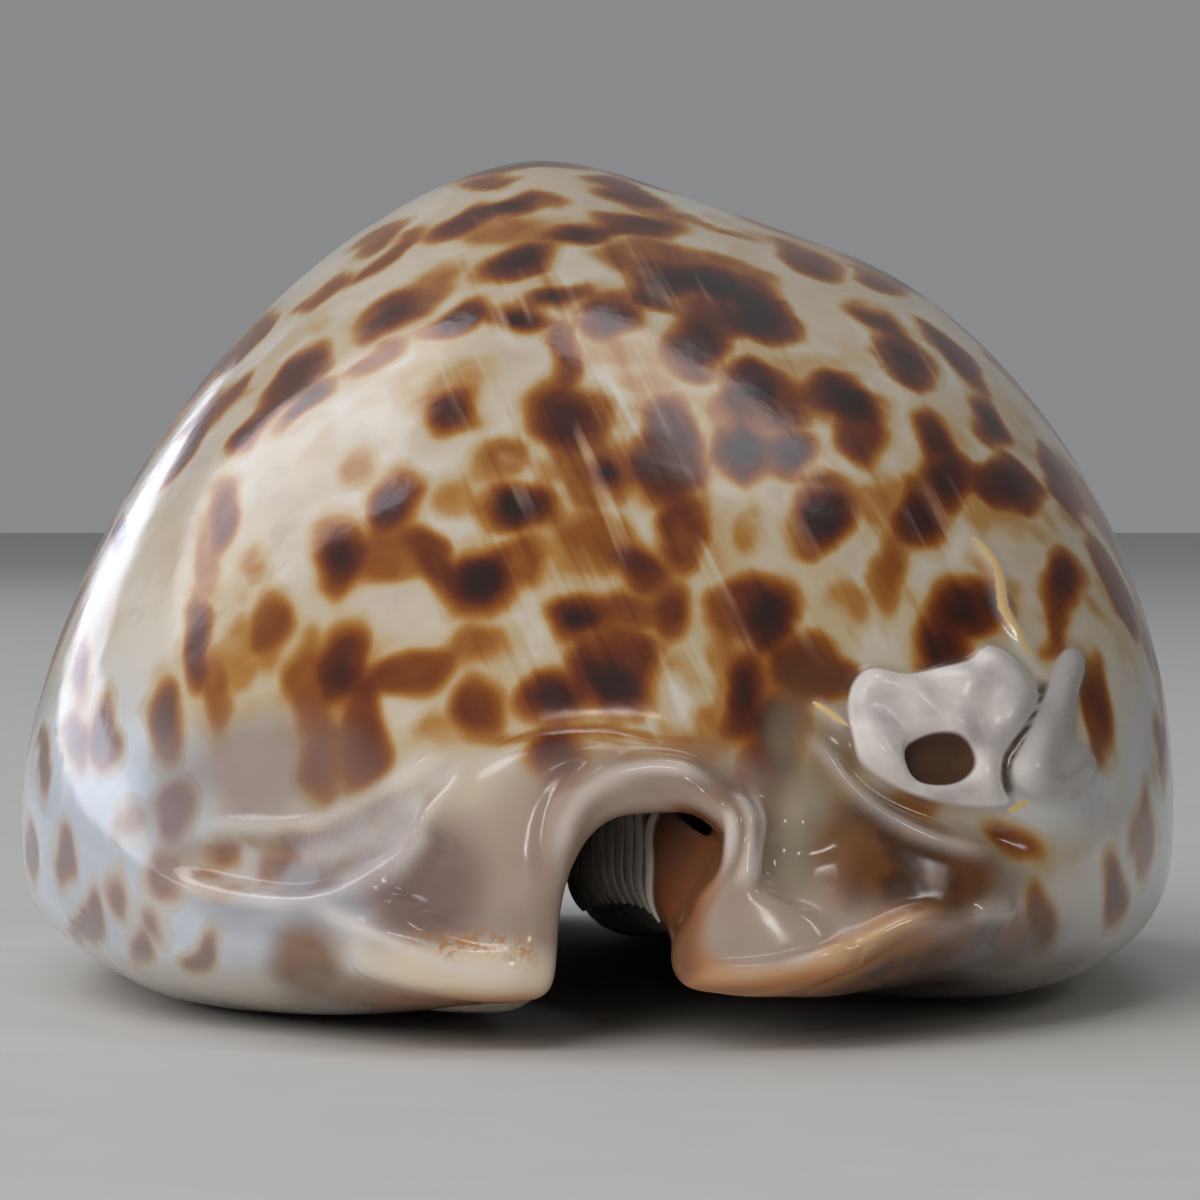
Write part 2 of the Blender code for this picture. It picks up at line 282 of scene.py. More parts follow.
def ring(section):
    """One ring's back and underside, and the step along the half path of each of their points."""
    effort = np.full(HALF_STEPS, BASE_EFFORT)
    effort[BASE_STEPS + LIP_STEPS :] = FOLD_EFFORT
    roof_effort = FOLD_EFFORT + section["hollow"] * (VAULT_EFFORT - FOLD_EFFORT)
    effort[HALF_STEPS - VAULT_STEPS :] = roof_effort
    from_rim = HALF_LENGTH - np.abs(section["y_base"])
    plain = np.clip(1.0 - from_rim / PLAIN_REACH, 0.0, 1.0) ** 2
    loops = []
    for half, weight in ((half_back, np.ones(HALF_STEPS)), (half_underside, effort)):
        left, left_at = spread(half(section, -1), weight, plain)
        right, right_at = spread(half(section, 1), weight, plain)
        steps = whole(-left_at[:, None] - 1.0, right_at[:, None] + 1.0)[:, 0]
        loops += [leaning(whole(left, right), section), steps]
    return loops


def flared(under):
    """The underside of a ring, with the canal's wall set out towards the front rim."""
    x, y, z = under.T
    out = soft_edges({"x": x, "y": y}, FLARE_EDGES)
    shift = FLARE * out * np.exp(-(((z - FLARE_HEIGHT) / FLARE_TALL) ** 2))
    return under + shift[:, None] * [1.0, 0.0, 0.0]


def rounded_rim(back, under, forward, rings):
    """Rings that close the wall at an end, drawn to its middle line and bulging along Y."""
    middle = 0.5 * (back + under)
    bulge = np.minimum(0.5 * np.linalg.norm(back - under, axis=1), RIM_BULGE)
    for angle in np.arccos(1.0 - np.linspace(0.0, 1.0, rings + 1)[1:] ** RIM_CROWDING):
        out = middle + [0.0, forward, 0.0] * (bulge * np.sin(angle))[:, None]
        yield out + (back - middle) * np.cos(angle), out + (under - middle) * np.cos(angle)


def joined(pairs):
    """Each ring's back and underside as one loop, all the loops after one another."""
    return np.concatenate([np.concatenate([back, under[-2:0:-1]]) for back, under in pairs])


def shell_loops():
    """Every loop's points, the step along the half path of each point, and how many loops."""
    dense, y = places_along()
    rate = np.gradient(y) / np.interp(y, *np.transpose(RING_GAPS))
    spent = np.cumsum(rate) - rate[0]
    columns = np.interp(np.linspace(0.0, spent[-1], RINGS), spent, dense)
    body = [ring(section) for section in sections_at(columns)]
    pairs = [(back, flared(under)) for back, _, under, _ in body]
    steps = [(back_steps, under_steps) for _, back_steps, _, under_steps in body]
    front = list(rounded_rim(*pairs[0], -1.0, FRONT_RIM_RINGS))[::-1]
    hind = list(rounded_rim(*pairs[-1], 1.0, HIND_RIM_RINGS))
    steps = [steps[0]] * len(front) + steps + [steps[-1]] * len(hind)
    return joined(front + pairs + hind), joined(steps), len(steps)


def shell_faces(loops):
    """Quads between neighbouring loops. The first and last loops are lines, both sides in one."""
    count = 4 * HALF_POINTS
    index = np.arange(loops * count).reshape(loops, count)
    for flat in (0, loops - 1):
        index[flat, 2 * HALF_POINTS + 1 :] = index[flat, 2 * HALF_POINTS - 1 : 0 : -1]
    kept, index = np.unique(index, return_inverse=True)
    index = index.reshape(loops, count)
    turned = np.roll(index, -1, axis=1)
    quads = np.stack([index[:-1], turned[:-1], turned[1:], index[1:]], axis=-1).reshape(-1, 4)
    return kept, [list(dict.fromkeys(quad)) for quad in quads.tolist()]


def mesh_object(name, points, faces, edges=()):
    """A smooth mesh object from points in millimetres."""
    mesh = bpy.data.meshes.new(name)
    mesh.from_pydata((np.asarray(points) * MM).tolist(), edges, faces)
    mesh.update()
    if faces:
        mesh.shade_smooth()
    made = bpy.data.objects.new(name, mesh)
    bpy.context.scene.collection.objects.link(made)
    return made


def vertex_rows(mesh, name):
    """The places or normals of a mesh's vertices as rows of numbers."""
    values = np.empty(len(mesh.vertices) * 3, np.float32)
    mesh.vertices.foreach_get(name, values)
    return values.reshape(-1, 3).astype(float)


def moved_to(mesh, places):
    """Moves a mesh's vertices to places in millimetres, and gives the new normals."""
    mesh.vertices.foreach_set("co", (places * MM).ravel().astype(np.float32))
    mesh.update()
    return vertex_rows(mesh, "normal")


def keep_on_points(mesh, name, values):
    """Stores a number for each vertex, which the material reads by name."""
    kept = mesh.attributes.new(name, "FLOAT", "POINT")
    kept.data.foreach_set("value", values.astype(np.float32))


def rubbed(mesh, rows, share, rounds):
    """Rows of numbers on a mesh's points, each drawn to its neighbours' mean by its share."""
    ends = np.empty(len(mesh.edges) * 2, np.int32)
    mesh.edges.foreach_get("vertices", ends)
    a, b = ends.reshape(-1, 2).T
    count = np.bincount(ends, minlength=len(rows))
    size = len(rows)
    for _ in range(rounds):
        sums = [np.bincount(a, row[b], size) + np.bincount(b, row[a], size) for row in rows.T]
        rows = rows + share[:, None] * (np.stack(sums, axis=1) / count[:, None] - rows)
    return rows


loop_points, loop_steps, loop_count = shell_loops()
low, high = loop_points.min(axis=0), loop_points.max(axis=0)
loop_middle = np.array([0.5 * (low[0] + high[0]), 0.5 * (low[1] + high[1]), low[2]])
loop_scale = np.array(SHELL_SIZE) / (high - low)
kept_points, faces = shell_faces(loop_count)
shell = mesh_object("shell_wall", ((loop_points - loop_middle) * loop_scale)[kept_points], faces)
places = vertex_rows(shell.data, "co") / MM
places = rubbed(shell.data, places, 0.5 * rise(np.abs(places[:, 1]), *END_RUB), END_ROUNDS)
longer = SHELL_SIZE[1] / np.ptp(places[:, 1]) - 1.0
places *= 1.0 + rise(np.abs(places), *END_DRAWN) * [0.0, longer, 0.0]
x, y, z = places.T.copy()
for (dent_x, wide), (dent_y, length), depth, edge in DENTS:
    near = np.abs((x - dent_x) / wide) ** DENT_FULLNESS + ((y - dent_y) / length) ** 2
    places[:, 2] += depth * rise(z, *edge) * np.exp(-near)
facing = moved_to(shell.data, places)
steps = loop_steps[kept_points]
# How many rings in from the front rim's middle line each point is, and whether it is on the back.
rings_in = kept_points // (4 * HALF_POINTS)
outside = kept_points % (4 * HALF_POINTS) <= 2 * HALF_POINTS


# Relief on the front end, all of it grown in the enamel: the canal's rolled rim, the folds and
# hollows beside it, the flanged edges of the two feet, and a pale healed scar on the inner lip's
# side. Each line runs through (across, up) places of the front elevation, in millimetres.
FOLD_UPPER = (
    (-19.0, 9.3), (-16.6, 9.6), (-13.3, 9.6), (-11.5, 10.1), (-8.8, 11.6), (-6.8, 12.8),
    (-5.2, 13.1),
)
FOLD_LOWER = (
    (-20.4, 7.9), (-18.9, 6.9), (-16.0, 6.4), (-13.2, 6.3), (-11.2, 6.8), (-9.2, 7.9), (-7.8, 9.8),
    (-6.4, 11.5), (-5.2, 13.0),
)
RIM_OUTSIDE = (
    (-2.3, 6.8), (-2.3, 9.3), (-2.0, 10.9), (-1.2, 12.2), (0.1, 12.9), (1.9, 13.4), (3.7, 13.3),
    (5.3, 12.8), (6.6, 11.9), (7.4, 10.6), (7.6, 9.0),
)
RIM_CREST = ((-1.8, 8.0), (-1.4, 10.2), (-0.3, 11.6), (1.4, 12.4), (3.5, 12.5), (5.4, 11.8))
RIM_ROLL = (
    (5.5, 11.0), (5.9, 10.5), (6.1, 9.6), (5.9, 8.7), (5.5, 8.1), (4.8, 7.0), (4.1, 5.9),
)
HOLLOW_EDGE = ((9.2, 14.0), (10.7, 12.4), (12.2, 10.8), (13.6, 9.8), (15.4, 8.9), (18.2, 8.3))
HOLLOW = ((10.6, 13.6), (12.3, 11.7), (13.8, 10.8), (15.9, 10.0), (18.3, 9.2), (20.2, 8.4))
INNER_FOOT_ROLL = (
    (3.6, 3.6), (7.2, 3.5), (9.4, 3.9), (11.2, 4.4), (12.3, 4.9), (13.7, 5.5), (15.9, 5.8),
)
OUTER_FOOT_ROLL = (
    (-13.4, 6.4), (-11.4, 5.8), (-9.9, 5.1), (-8.4, 4.4), (-6.6, 3.8), (-4.6, 3.5), (-2.0, 4.0),
)
GLINT_BEAD = (
    (17.6, 22.5), (18.1, 21.8), (18.7, 21.0), (18.8, 19.2), (19.2, 18.4), (19.6, 17.9),
    (20.0, 17.1),
)
SHORT_BEAD = ((9.7, 15.2), (10.5, 14.7), (11.3, 14.0))
# Each line's half width, and how high it stands. A height below 0 is a groove.
RELIEF = (
    # The two edges of the fold on the outer lip's side, and the ridges between them.
    (FOLD_UPPER, 0.6, 0.35),
    (FOLD_LOWER, 0.7, 0.5),
    (((-11.0, 9.2), (-9.2, 10.3), (-7.9, 11.4), (-6.4, 12.3)), 0.55, 0.26),
    (((-14.0, 8.6), (-12.0, 8.8), (-10.2, 9.4), (-8.6, 10.6)), 0.55, 0.22),
    (((-12.3, 7.5), (-10.8, 7.8), (-9.4, 8.7), (-8.5, 9.8), (-7.4, 11.2)), 0.55, 0.26),
    # The canal's rim: the groove outside it, its crest, and the rolls down the inner lip's side.
    (RIM_OUTSIDE, 0.7, -0.25),
    (RIM_CREST, 1.1, 0.3),
    (RIM_ROLL, 0.55, 0.35),
    (((6.1, 11.7), (6.7, 10.6), (6.9, 9.3), (6.6, 8.0), (6.2, 7.2)), 0.5, 0.3),
    (((6.9, 11.4), (7.5, 9.9), (7.5, 9.0), (7.1, 8.0), (6.5, 7.1)), 0.5, 0.35),
    (((8.0, 11.8), (8.4, 9.8), (8.0, 7.6)), 1.1, -0.35),
    # The hollow under the scar, and one hollow on each side of the canal.
    (HOLLOW_EDGE, 0.5, 0.3),
    (HOLLOW, 0.9, -0.55),
    (((9.2, 9.8), (8.8, 8.2), (8.2, 6.6)), 2.8, -0.8),
    (((-7.4, 10.0), (-8.3, 8.0), (-8.7, 6.6)), 2.4, -0.8),
    # The feet's flanged edges.
    (INNER_FOOT_ROLL, 0.85, 0.9),
    (((16.8, 5.5), (17.5, 5.8), (18.9, 5.5)), 0.6, 0.5),
    (OUTER_FOOT_ROLL, 1.5, 0.65),
    (((-7.6, 5.8), (-5.6, 5.3), (-3.0, 5.4)), 0.9, -0.3),
    # Thin raised beads, which carry a painted golden glint.
    (GLINT_BEAD, 0.42, 0.3),
    (SHORT_BEAD, 0.3, 0.2),
)
# The share of a line over which each of its ends dies away, and how far to either side of a ridge
# the painted highlight along its crest reaches.
LINE_TAPER, CREST_HIGHLIGHT_WIDTH = 0.18, 0.34
# How deep the fold is sunk between its two edges, and over what slope.
FOLD_DEPTH, FOLD_SLOPE = 0.75, 1.3
# The scar's two raised patches, and the dark seam between them.
SCAR = (
    (11.3, 14.6), (11.4, 15.7), (11.9, 16.4), (12.6, 16.6), (13.9, 16.2), (15.4, 16.5),
    (17.1, 16.8), (17.5, 17.2), (17.9, 17.5), (18.4, 17.4), (19.1, 17.0), (20.0, 16.0),
    (20.3, 15.4), (20.2, 14.9), (19.7, 14.2), (18.5, 12.8), (18.3, 12.2), (18.2, 11.5),
    (18.5, 10.9), (18.9, 10.5), (17.6, 10.4), (15.7, 10.7), (14.6, 11.1), (13.4, 11.6),
    (12.5, 12.2), (11.8, 12.8), (11.5, 13.7),
)
SCAR_LOBE = (
    (21.7, 17.2), (22.4, 17.2), (22.8, 16.9), (22.6, 16.0), (22.2, 15.1), (21.9, 14.0),
    (21.9, 12.9), (22.6, 12.6), (23.3, 12.1), (22.8, 11.7), (22.3, 11.3), (21.5, 10.8),
    (20.5, 10.7), (19.5, 11.0), (19.0, 11.5), (18.9, 12.2), (19.3, 12.8), (19.9, 13.9),
    (20.9, 15.6), (21.2, 16.5),
)
SEAM = (
    (20.8, 16.2), (20.4, 15.0), (19.7, 14.0), (18.8, 12.7), (18.5, 11.9), (18.6, 11.2),
    (19.1, 10.6),
)
# The scar's height, the stretch over which it rises and the share it starts with; the height, size
# and slice of the lumps on it; and the oval pit in it.
SCAR_HEIGHT, SCAR_SLOPE, SCAR_START = 0.55, 0.9, 0.3
LUMP_HEIGHT, LUMP_SIZE, LUMP_SLICE = 0.6, 1.9, 3.0
PIT_PLACE, PIT_HALF_SIZE, PIT_TURN = (15.4, 12.5), (1.65, 1.15), -10.0
PIT_DEPTH, PIT_SLOPE, PIT_START = 1.1, 0.45, 0.15
# Relief grows on skin that faces forward: how far it may turn under and away, and how near the
# front rim it covers everything.
MOST_UNDER, MOST_AWAY, RIM_Y = -0.9, 0.1, -36.0
# Rounds of rubbing for the relief and for the way it stands out.
LIFT_ROUNDS, FACING_ROUNDS = 4, 12
# The rings crowd together under the inner lip's foot, so that spot is smoothed once more.
CROWDED_PLACE, CROWDED_SIZE, CROWDED_ROUNDS = (11.6, -39.0, 4.4), (0.9, 1.5, 0.9), 50
# Further away than anything here, and how much of the foremost part is drawn back softly.
FAR, FRONT_ROUND = 50.0, 2.2


def rounded(line, closed=False):
    """A line with its corners cut twice over, so that it bends softly."""
    line = np.asarray(line, float)
    for _ in range(2):
        start, end = (line, np.roll(line, -1, axis=0)) if closed else (line[:-1], line[1:])
        cut = np.stack([0.75 * start + 0.25 * end, 0.25 * start + 0.75 * end], axis=1)
        cut = cut.reshape(-1, 2)
        line = cut if closed else np.concatenate([line[:1], cut, line[-1:]])
    return line


def line_distance(spots, line):
    """How far each (across, up) spot is from a line, and the share of the line passed there."""
    line = np.asarray(line, float)
    nearest, share = np.full(len(spots), FAR), np.zeros(len(spots))
    lengths = np.linalg.norm(np.diff(line, axis=0), axis=1)
    passed = np.concatenate([[0.0], np.cumsum(lengths)])
    for i in range(len(line) - 1):
        way = line[i + 1] - line[i]
        at = np.clip((spots - line[i]) @ way / (way @ way), 0.0, 1.0)
        gap = np.linalg.norm(spots - line[i] - at[:, None] * way, axis=1)
        closer = gap < nearest
        nearest[closer] = gap[closer]
        share[closer] = ((passed[i] + at * lengths[i]) / passed[-1])[closer]
    return nearest, share


def inside_distance(spots, outline):
    """How far each spot is inside a closed outline; less than nothing outside it."""
    outline = np.asarray(outline, float)
    gap, _ = line_distance(spots, np.concatenate([outline, outline[:1]]))
    crossed = np.zeros(len(spots), bool)
    for (x0, z0), (x1, z1) in zip(outline, np.roll(outline, -1, axis=0)):
        between = (spots[:, 1] > z0) != (spots[:, 1] > z1)
        reach = x0 + (spots[:, 1] - z0) * (x1 - x0) / (z1 - z0 + 1e-9)
        crossed ^= between & (spots[:, 0] < reach)
    return np.where(crossed, gap, -gap)


def from_ends(share, taper):
    """Nothing at either end of a line, and all of it a taper further in."""
    return eased(np.minimum(share, 1.0 - share) / taper)


def hump(gap, half_width):
    """All of it on a line, and nothing a half width away."""
    return 1.0 - np.clip(gap / half_width, 0.0, 1.0) ** 2


within = ~outside & (np.abs(steps) - 1.0 > BASE_STEPS + 0.5 * LIP_STEPS)
skinned = outside | (~within & (facing[:, 2] > MOST_UNDER))
on_front = (skinned | (places[:, 1] < RIM_Y)) & (facing[:, 1] < MOST_AWAY) & (places[:, 1] < 0.0)
front_spots = places[on_front][:, [0, 2]]
# crest: a painted highlight, pale along the top of every raised line.
lift, crest = np.zeros(len(front_spots)), np.zeros(len(front_spots))
for line, half_width, height in RELIEF:
    gap, share = line_distance(front_spots, rounded(line))
    taper = from_ends(share, LINE_TAPER)
    lift += height * taper * hump(gap, half_width) ** 2
    if height > 0.0:
        crest = np.maximum(crest, taper * hump(gap, min(half_width, CREST_HIGHLIGHT_WIDTH)))
fold = inside_distance(front_spots, rounded(FOLD_UPPER + FOLD_LOWER[::-1], True))
lift -= FOLD_DEPTH * eased(fold / FOLD_SLOPE)
patches = [inside_distance(front_spots, rounded(line, True)) for line in (SCAR, SCAR_LOBE)]
scar = np.maximum(*patches)
slices = [Vector((u / LUMP_SIZE, v / LUMP_SIZE, LUMP_SLICE)) for u, v in front_spots]
lumps = np.array([noise.noise(place) for place in slices])
lift += (SCAR_HEIGHT + LUMP_HEIGHT * lumps) * eased(scar / SCAR_SLOPE + SCAR_START)
turn = np.radians(PIT_TURN)
pit_way = np.array([[np.cos(turn), -np.sin(turn)], [np.sin(turn), np.cos(turn)]])
pit = 1.0 - np.linalg.norm(((front_spots - PIT_PLACE) @ pit_way) / PIT_HALF_SIZE, axis=1)
lift -= PIT_DEPTH * eased(pit / PIT_SLOPE + PIT_START)
lift_rows = np.zeros((len(places), 1))
lift_rows[on_front, 0] = lift
half_share = np.full(len(places), 0.5)
lift_rows = rubbed(shell.data, lift_rows, half_share, LIFT_ROUNDS)
places += lift_rows * rubbed(shell.data, facing, half_share, FACING_ROUNDS)
crowded = np.exp(-(((places - CROWDED_PLACE) / CROWDED_SIZE) ** 2).sum(axis=1))
places = rubbed(shell.data, places, 0.5 * crowded, CROWDED_ROUNDS)
# The foremost part is drawn back softly, so the feet stay round and still end where the shell does.
front_end = -cad_box[0][1] / MM
beyond = np.maximum(-places[:, 1] - (front_end - FRONT_ROUND), 0.0)
drawn = beyond / (1.0 + beyond / (2.0 * FRONT_ROUND))
drawn *= FRONT_ROUND / drawn.max()
places[:, 1] = np.where(beyond > 0.0, -(front_end - FRONT_ROUND) - drawn, places[:, 1])
places[:, 2] = np.maximum(places[:, 2], 0.0)
places = np.clip(places, *(np.array(corner) / MM for corner in cad_box))
facing = moved_to(shell.data, places)


# The spots: brown pigment that the mantle laid under the last clear enamel. Each spot of the front
# end is given by its middle (across, up), its half width and half height, its turn in degrees and
# how dark it is. The spots elsewhere are strewn at random, and never grow closer than their gap.
FRONT_SPOTS = (
    # The top, seen flat: long dark dashes.
    (-5.5, 40, 1.3, 0.3, 10, 0.6), (-2.5, 39, 1, 0.3, -10, 0.55), (-6, 38, 2.1, 0.6, 25, 0.8),
    (-4, 38.5, 1.1, 0.5, 20, 0.8), (-4.5, 37, 2, 0.6, 5, 0.45), (-1, 37, 1.6, 0.4, 5, 0.85),
    (2, 37.5, 1.9, 0.6, -5, 0.82), (-4, 35.5, 1.5, 0.6, 20, 0.92), (1.5, 39.5, 1.9, 0.4, -20, 0.72),
    (4.5, 38, 3, 0.2, -15, 0.5), (10.5, 36, 1.5, 0.5, -30, 0.75), (14, 35, 1.3, 0.4, -30, 0.65),
    # The outer lip's shoulder.
    (-11, 37, 1.3, 0.3, 30, 0.55), (-10.5, 36, 1.9, 0.4, 35, 0.65),
    (-13.5, 34.5, 1.3, 0.4, 35, 0.65), (-13.5, 32.5, 0.6, 0.6, 0, 0.25),
    (-10, 33, 1.6, 0.5, 35, 0.92), (-8, 34.5, 1.2, 0.4, 25, 0.5), (-17.5, 32, 2.1, 0.6, 50, 0.65),
    (-14.5, 30, 1.9, 0.8, 40, 0.82), (-18, 29, 1.4, 0.4, 45, 0.6), (-20, 27, 2.1, 0.4, 60, 0.8),
    (-14, 28.5, 1.4, 0.4, 40, 0.8), (-16.5, 27.5, 1.4, 0.5, 50, 0.8),
    (-10.5, 31, 1.4, 0.4, 35, 0.55), (-6.5, 33, 1.5, 0.5, 20, 0.88), (-3.5, 33, 1, 0.5, 0, 0.96),
    (-2, 34, 1.2, 0.4, 5, 0.82), (-7, 28.5, 1, 0.9, 0, 0.85), (-1, 28, 1.6, 1.3, 15, 0.88),
    (-1.5, 31, 0.6, 1.5, 10, 0.65), (-7.5, 29.5, 2, 1.3, 10, 0.3), (-1.5, 28, 1.4, 1.6, 0, 0.5),
    # The great blotch and the spots round it, on the inner lip's shoulder.
    (4.5, 35.5, 4.1, 1.1, -5, 0.5), (3.5, 34.5, 1.6, 1, 0, 0.97), (6, 34.5, 2.2, 0.9, -10, 0.97),
    (8, 33, 1.7, 1.3, -20, 0.97), (4.5, 31.5, 1.3, 1.2, 10, 0.95), (0.5, 33, 1.3, 0.9, 0, 0.78),
    (6, 33, 1.9, 1.1, 0, 0.78), (7.5, 29.5, 1.2, 0.9, 0, 0.93), (8, 29, 2, 1.4, 0, 0.68),
    (3.5, 28, 0.9, 1.1, 0, 0.85), (13.5, 33, 1.3, 0.5, -30, 0.82), (15, 31, 1.5, 0.8, -50, 0.96),
    (12, 29, 1.9, 1, -20, 0.95), (12.5, 27.5, 1, 1.7, 0, 0.7), (16, 27, 0.8, 1.2, 0, 0.85),
    (16.5, 25.5, 1.1, 1.2, -20, 0.92), (17.5, 31, 2, 0.6, -50, 0.82),
    (21.5, 29.5, 2.6, 0.5, -45, 0.6), (19, 28, 1.2, 0.7, -65, 0.93),
    (19.5, 25, 2.1, 1.1, -10, 0.92), (22.5, 25, 1.9, 0.6, -65, 0.75), (15, 23.5, 1.2, 1.2, 0, 0.95),
    (10.5, 23.5, 1.2, 1.5, -10, 0.99), (7, 26.5, 1.1, 1.1, 0, 0.98), (9, 26.5, 1.1, 1, 0, 0.97),
    (3.5, 26, 1.4, 1.7, -20, 0.82), (13.5, 21, 0.6, 1.8, 0, 0.52), (17, 19.5, 1.4, 1, 0, 0.92),
    (18.5, 19.5, 0.6, 0.8, 0, 0.97), (16, 17.5, 1, 1.3, 0, 0.82), (22, 20.5, 0.9, 1.2, -15, 0.9),
    (25, 20, 0.7, 2.7, 25, 0.66), (27, 16.5, 0.4, 2.1, 5, 0.7),
    # The middle of the front.
    (0.5, 25.5, 0.6, 0.6, 0, 0.9), (0, 25.5, 2.3, 1.4, 0, 0.55), (-3.5, 24, 1.6, 0.9, -5, 0.97),
    (-5.5, 20.5, 1.3, 1.3, 0, 0.97), (-3.5, 21.5, 1.4, 0.9, 20, 0.5),
    (-0.5, 19, 1.1, 0.8, -10, 0.97), (1.5, 19.5, 1.2, 0.7, 0, 0.62), (3.5, 19.5, 0.7, 1, 0, 0.75),
    (2, 21.5, 1.2, 0.8, -35, 0.82), (0, 22.5, 1.6, 1.4, 0, 0.52), (4, 23, 0.9, 1.5, -10, 0.7),
    (1, 16, 1.5, 1.2, 0, 0.92), (1, 17, 1.8, 1.5, 0, 0.72), (-2, 15.5, 1.3, 0.9, 0, 0.9),
    (-2, 13, 1.1, 1.1, 0, 0.88), (-5.5, 15, 1, 0.9, 0, 0.68), (-5.5, 17.5, 1.2, 0.7, 15, 0.52),
    (-4.5, 26, 1.1, 0.8, 15, 0.55), (-6.5, 24.5, 0.7, 0.6, 0, 0.4), (8, 19, 1.2, 1.4, 0, 0.95),
    (6.5, 19.5, 1.1, 1.2, 0, 0.65), (7, 23, 0.5, 0.7, 0, 0.42), (5.5, 17.5, 0.6, 0.9, 0, 0.48),
    (9.5, 16.5, 1.4, 1.3, 0, 0.88), (11, 16, 0.9, 0.6, 0, 0.8), (6.5, 15.5, 0.9, 1.8, -10, 0.9),
    (8, 14.5, 1.1, 1.1, 0, 0.96), (7.5, 12, 1.2, 2, -20, 0.85), (-3, 13.9, 2.2, 0.2, 4, 0.5),
    (2, 14, 2.6, 0.2, -3, 0.5),
    # The outer lip's side, where the brown runs together.
    (-8.5, 16.5, 1.7, 0.7, 15, 0.66), (-11.5, 17, 0.9, 1.5, -5, 0.86),
    (-15, 18.5, 0.7, 1.2, -5, 0.62), (-12, 21.5, 1, 1.4, 10, 0.95), (-9.5, 24, 1, 1.3, -25, 0.9),
    (-9.5, 21.5, 1.9, 1.1, 0, 0.52), (-7.5, 21.5, 1.6, 0.7, -50, 0.72),
    (-17.5, 23.5, 0.6, 1.2, 15, 0.72), (-18, 22, 0.7, 1.7, 15, 0.42),
    (-15.5, 21, 0.5, 0.7, 0, 0.32), (-18, 20, 0.5, 0.4, 0, 0.42), (-18.5, 17.5, 0.6, 1.7, 0, 0.84),
    (-16.5, 17.5, 0.7, 1.4, 0, 0.36), (-11, 26, 0.7, 0.7, 0, 0.38), (-24.5, 16, 0.5, 1.1, 0, 0.68),
    (-24.5, 13, 0.6, 0.9, 0, 0.72), (-23, 13.5, 0.7, 1.2, 0, 0.78), (-20, 14, 0.6, 1.4, 0, 0.8),
    (-23.5, 22.5, 0.4, 2.3, 15, 0.86), (-10.5, 14, 0.9, 2.1, -5, 0.76), (-13, 16, 1, 1.9, 0, 0.6),
    (-12.2, 12.9, 0.9, 1.5, 0, 0.6), (-17.4, 15.4, 0.7, 1.6, 0, 0.55),
    (21.4, 18.6, 0.5, 1.2, -20, 0.62),
    # The margins, where spots stand upright under a milky layer.
    (23.5, 14.5, 0.6, 2.1, 5, 0.66), (27, 12, 0.4, 1.4, 0, 0.66), (26, 8, 0.4, 1.2, -10, 0.72),
    (25.5, 9, 0.5, 1.1, -10, 0.6), (24, 6, 0.5, 1.2, 15, 0.72), (20.5, 5, 0.4, 1.3, 10, 0.66),
    (19, 9, 1.1, 0.5, -25, 0.72), (-19.5, 10, 0.8, 1, 0, 0.6), (-19.5, 7.5, 0.8, 0.9, 25, 0.62),
    (-21.5, 9.5, 0.6, 0.8, 0, 0.42), (-26.5, 12, 0.3, 1.3, 10, 0.66), (-27, 7.5, 0.4, 1.2, 0, 0.76),
    (-25, 7.5, 0.4, 1, 0, 0.66), (-24.5, 4, 0.3, 1.4, -25, 0.76), (-23.5, 4.5, 0.4, 1.1, -15, 0.66),
    (-22, 6, 0.3, 0.6, 0, 0.55), (-20, 5, 0.4, 0.6, 0, 0.5), (-21, 3.5, 0.4, 0.9, -25, 0.66),
    (-18, 3.5, 0.4, 1, -25, 0.7), (-13, 9, 0.9, 0.4, 10, 0.75), (-16.5, 8.5, 0.6, 0.4, 15, 0.55),
    (-13.5, 8, 1.5, 0.4, 10, 0.55), (-13.5, 7.5, 0.9, 0.4, 5, 0.66), (-17, 7, 1.1, 0.4, 0, 0.45),
)
# A spot is a disc of middling brown that thins out past its outline, in millimetres, with a dark
# core that reaches a share of the way out.
SPOT_BROWN = 0.70
SPOT_FADE = ((-0.4, 1.0), (0.0, 0.86), (0.4, 0.56), (0.75, 0.29), (1.15, 0.10), (1.6, 0.0))
CORE_REACH, CORE_FADE = 1.04, 0.85
# On ground that runs away from the front, a spot is drawn out along the shell, but no further than
# the longest, where it fades. To the sides it is drawn this far past this share of its size.
STEEPEST, LONGEST, LONG_FADE, HALO_REACH, REACH_SHARE = 0.18, 3.6, 1.2, 2.0, 1.2
# A spot fades where the skin turns from it, and where the skin turns under: start and stretch. Less
# skin than this takes no spot.
TURNED_AWAY, TURNED_UNDER, LEAST_SKIN = (0.15, 0.3), (-0.94, 0.34), 0.05
# The placed spots keep to skin that faces forward at least this much, no further back than this.
SEEN_FACING, SEEN_BACK = -0.02, 3.0
# Outlines wander as smooth noise does: the size and the amount of each wave, and the halo's own.
WANDER, HALO_WANDER, WANDER_SEED = ((6.0, 0.35), (1.7, 0.22)), (2.4, 0.45), 13
# Where spots overlap, the brown adds up this sharply.
OVERLAP = 4
# The strewn spots: how many are tried, the least facing and height that they grow at, their
# smallest and largest size, how much the small ones are favoured, and the gap between two.
HIND_SEED, HIND_TRIES, HIND_FACING, LOWEST_SPOT = 5, 2600, -0.12, 5.0
SMALLEST, LARGEST, SMALL_FAVOURED, HIND_GAP = 0.9, 2.3, 1.4, 1.25
# Low on the flanks they stay smaller: the share of the size there, the share gained further up,
# and where that starts and over what stretch.
LOW_SIZE, GAINED, GAIN_EDGE = 0.55, 0.45, (4.0, 14.0)
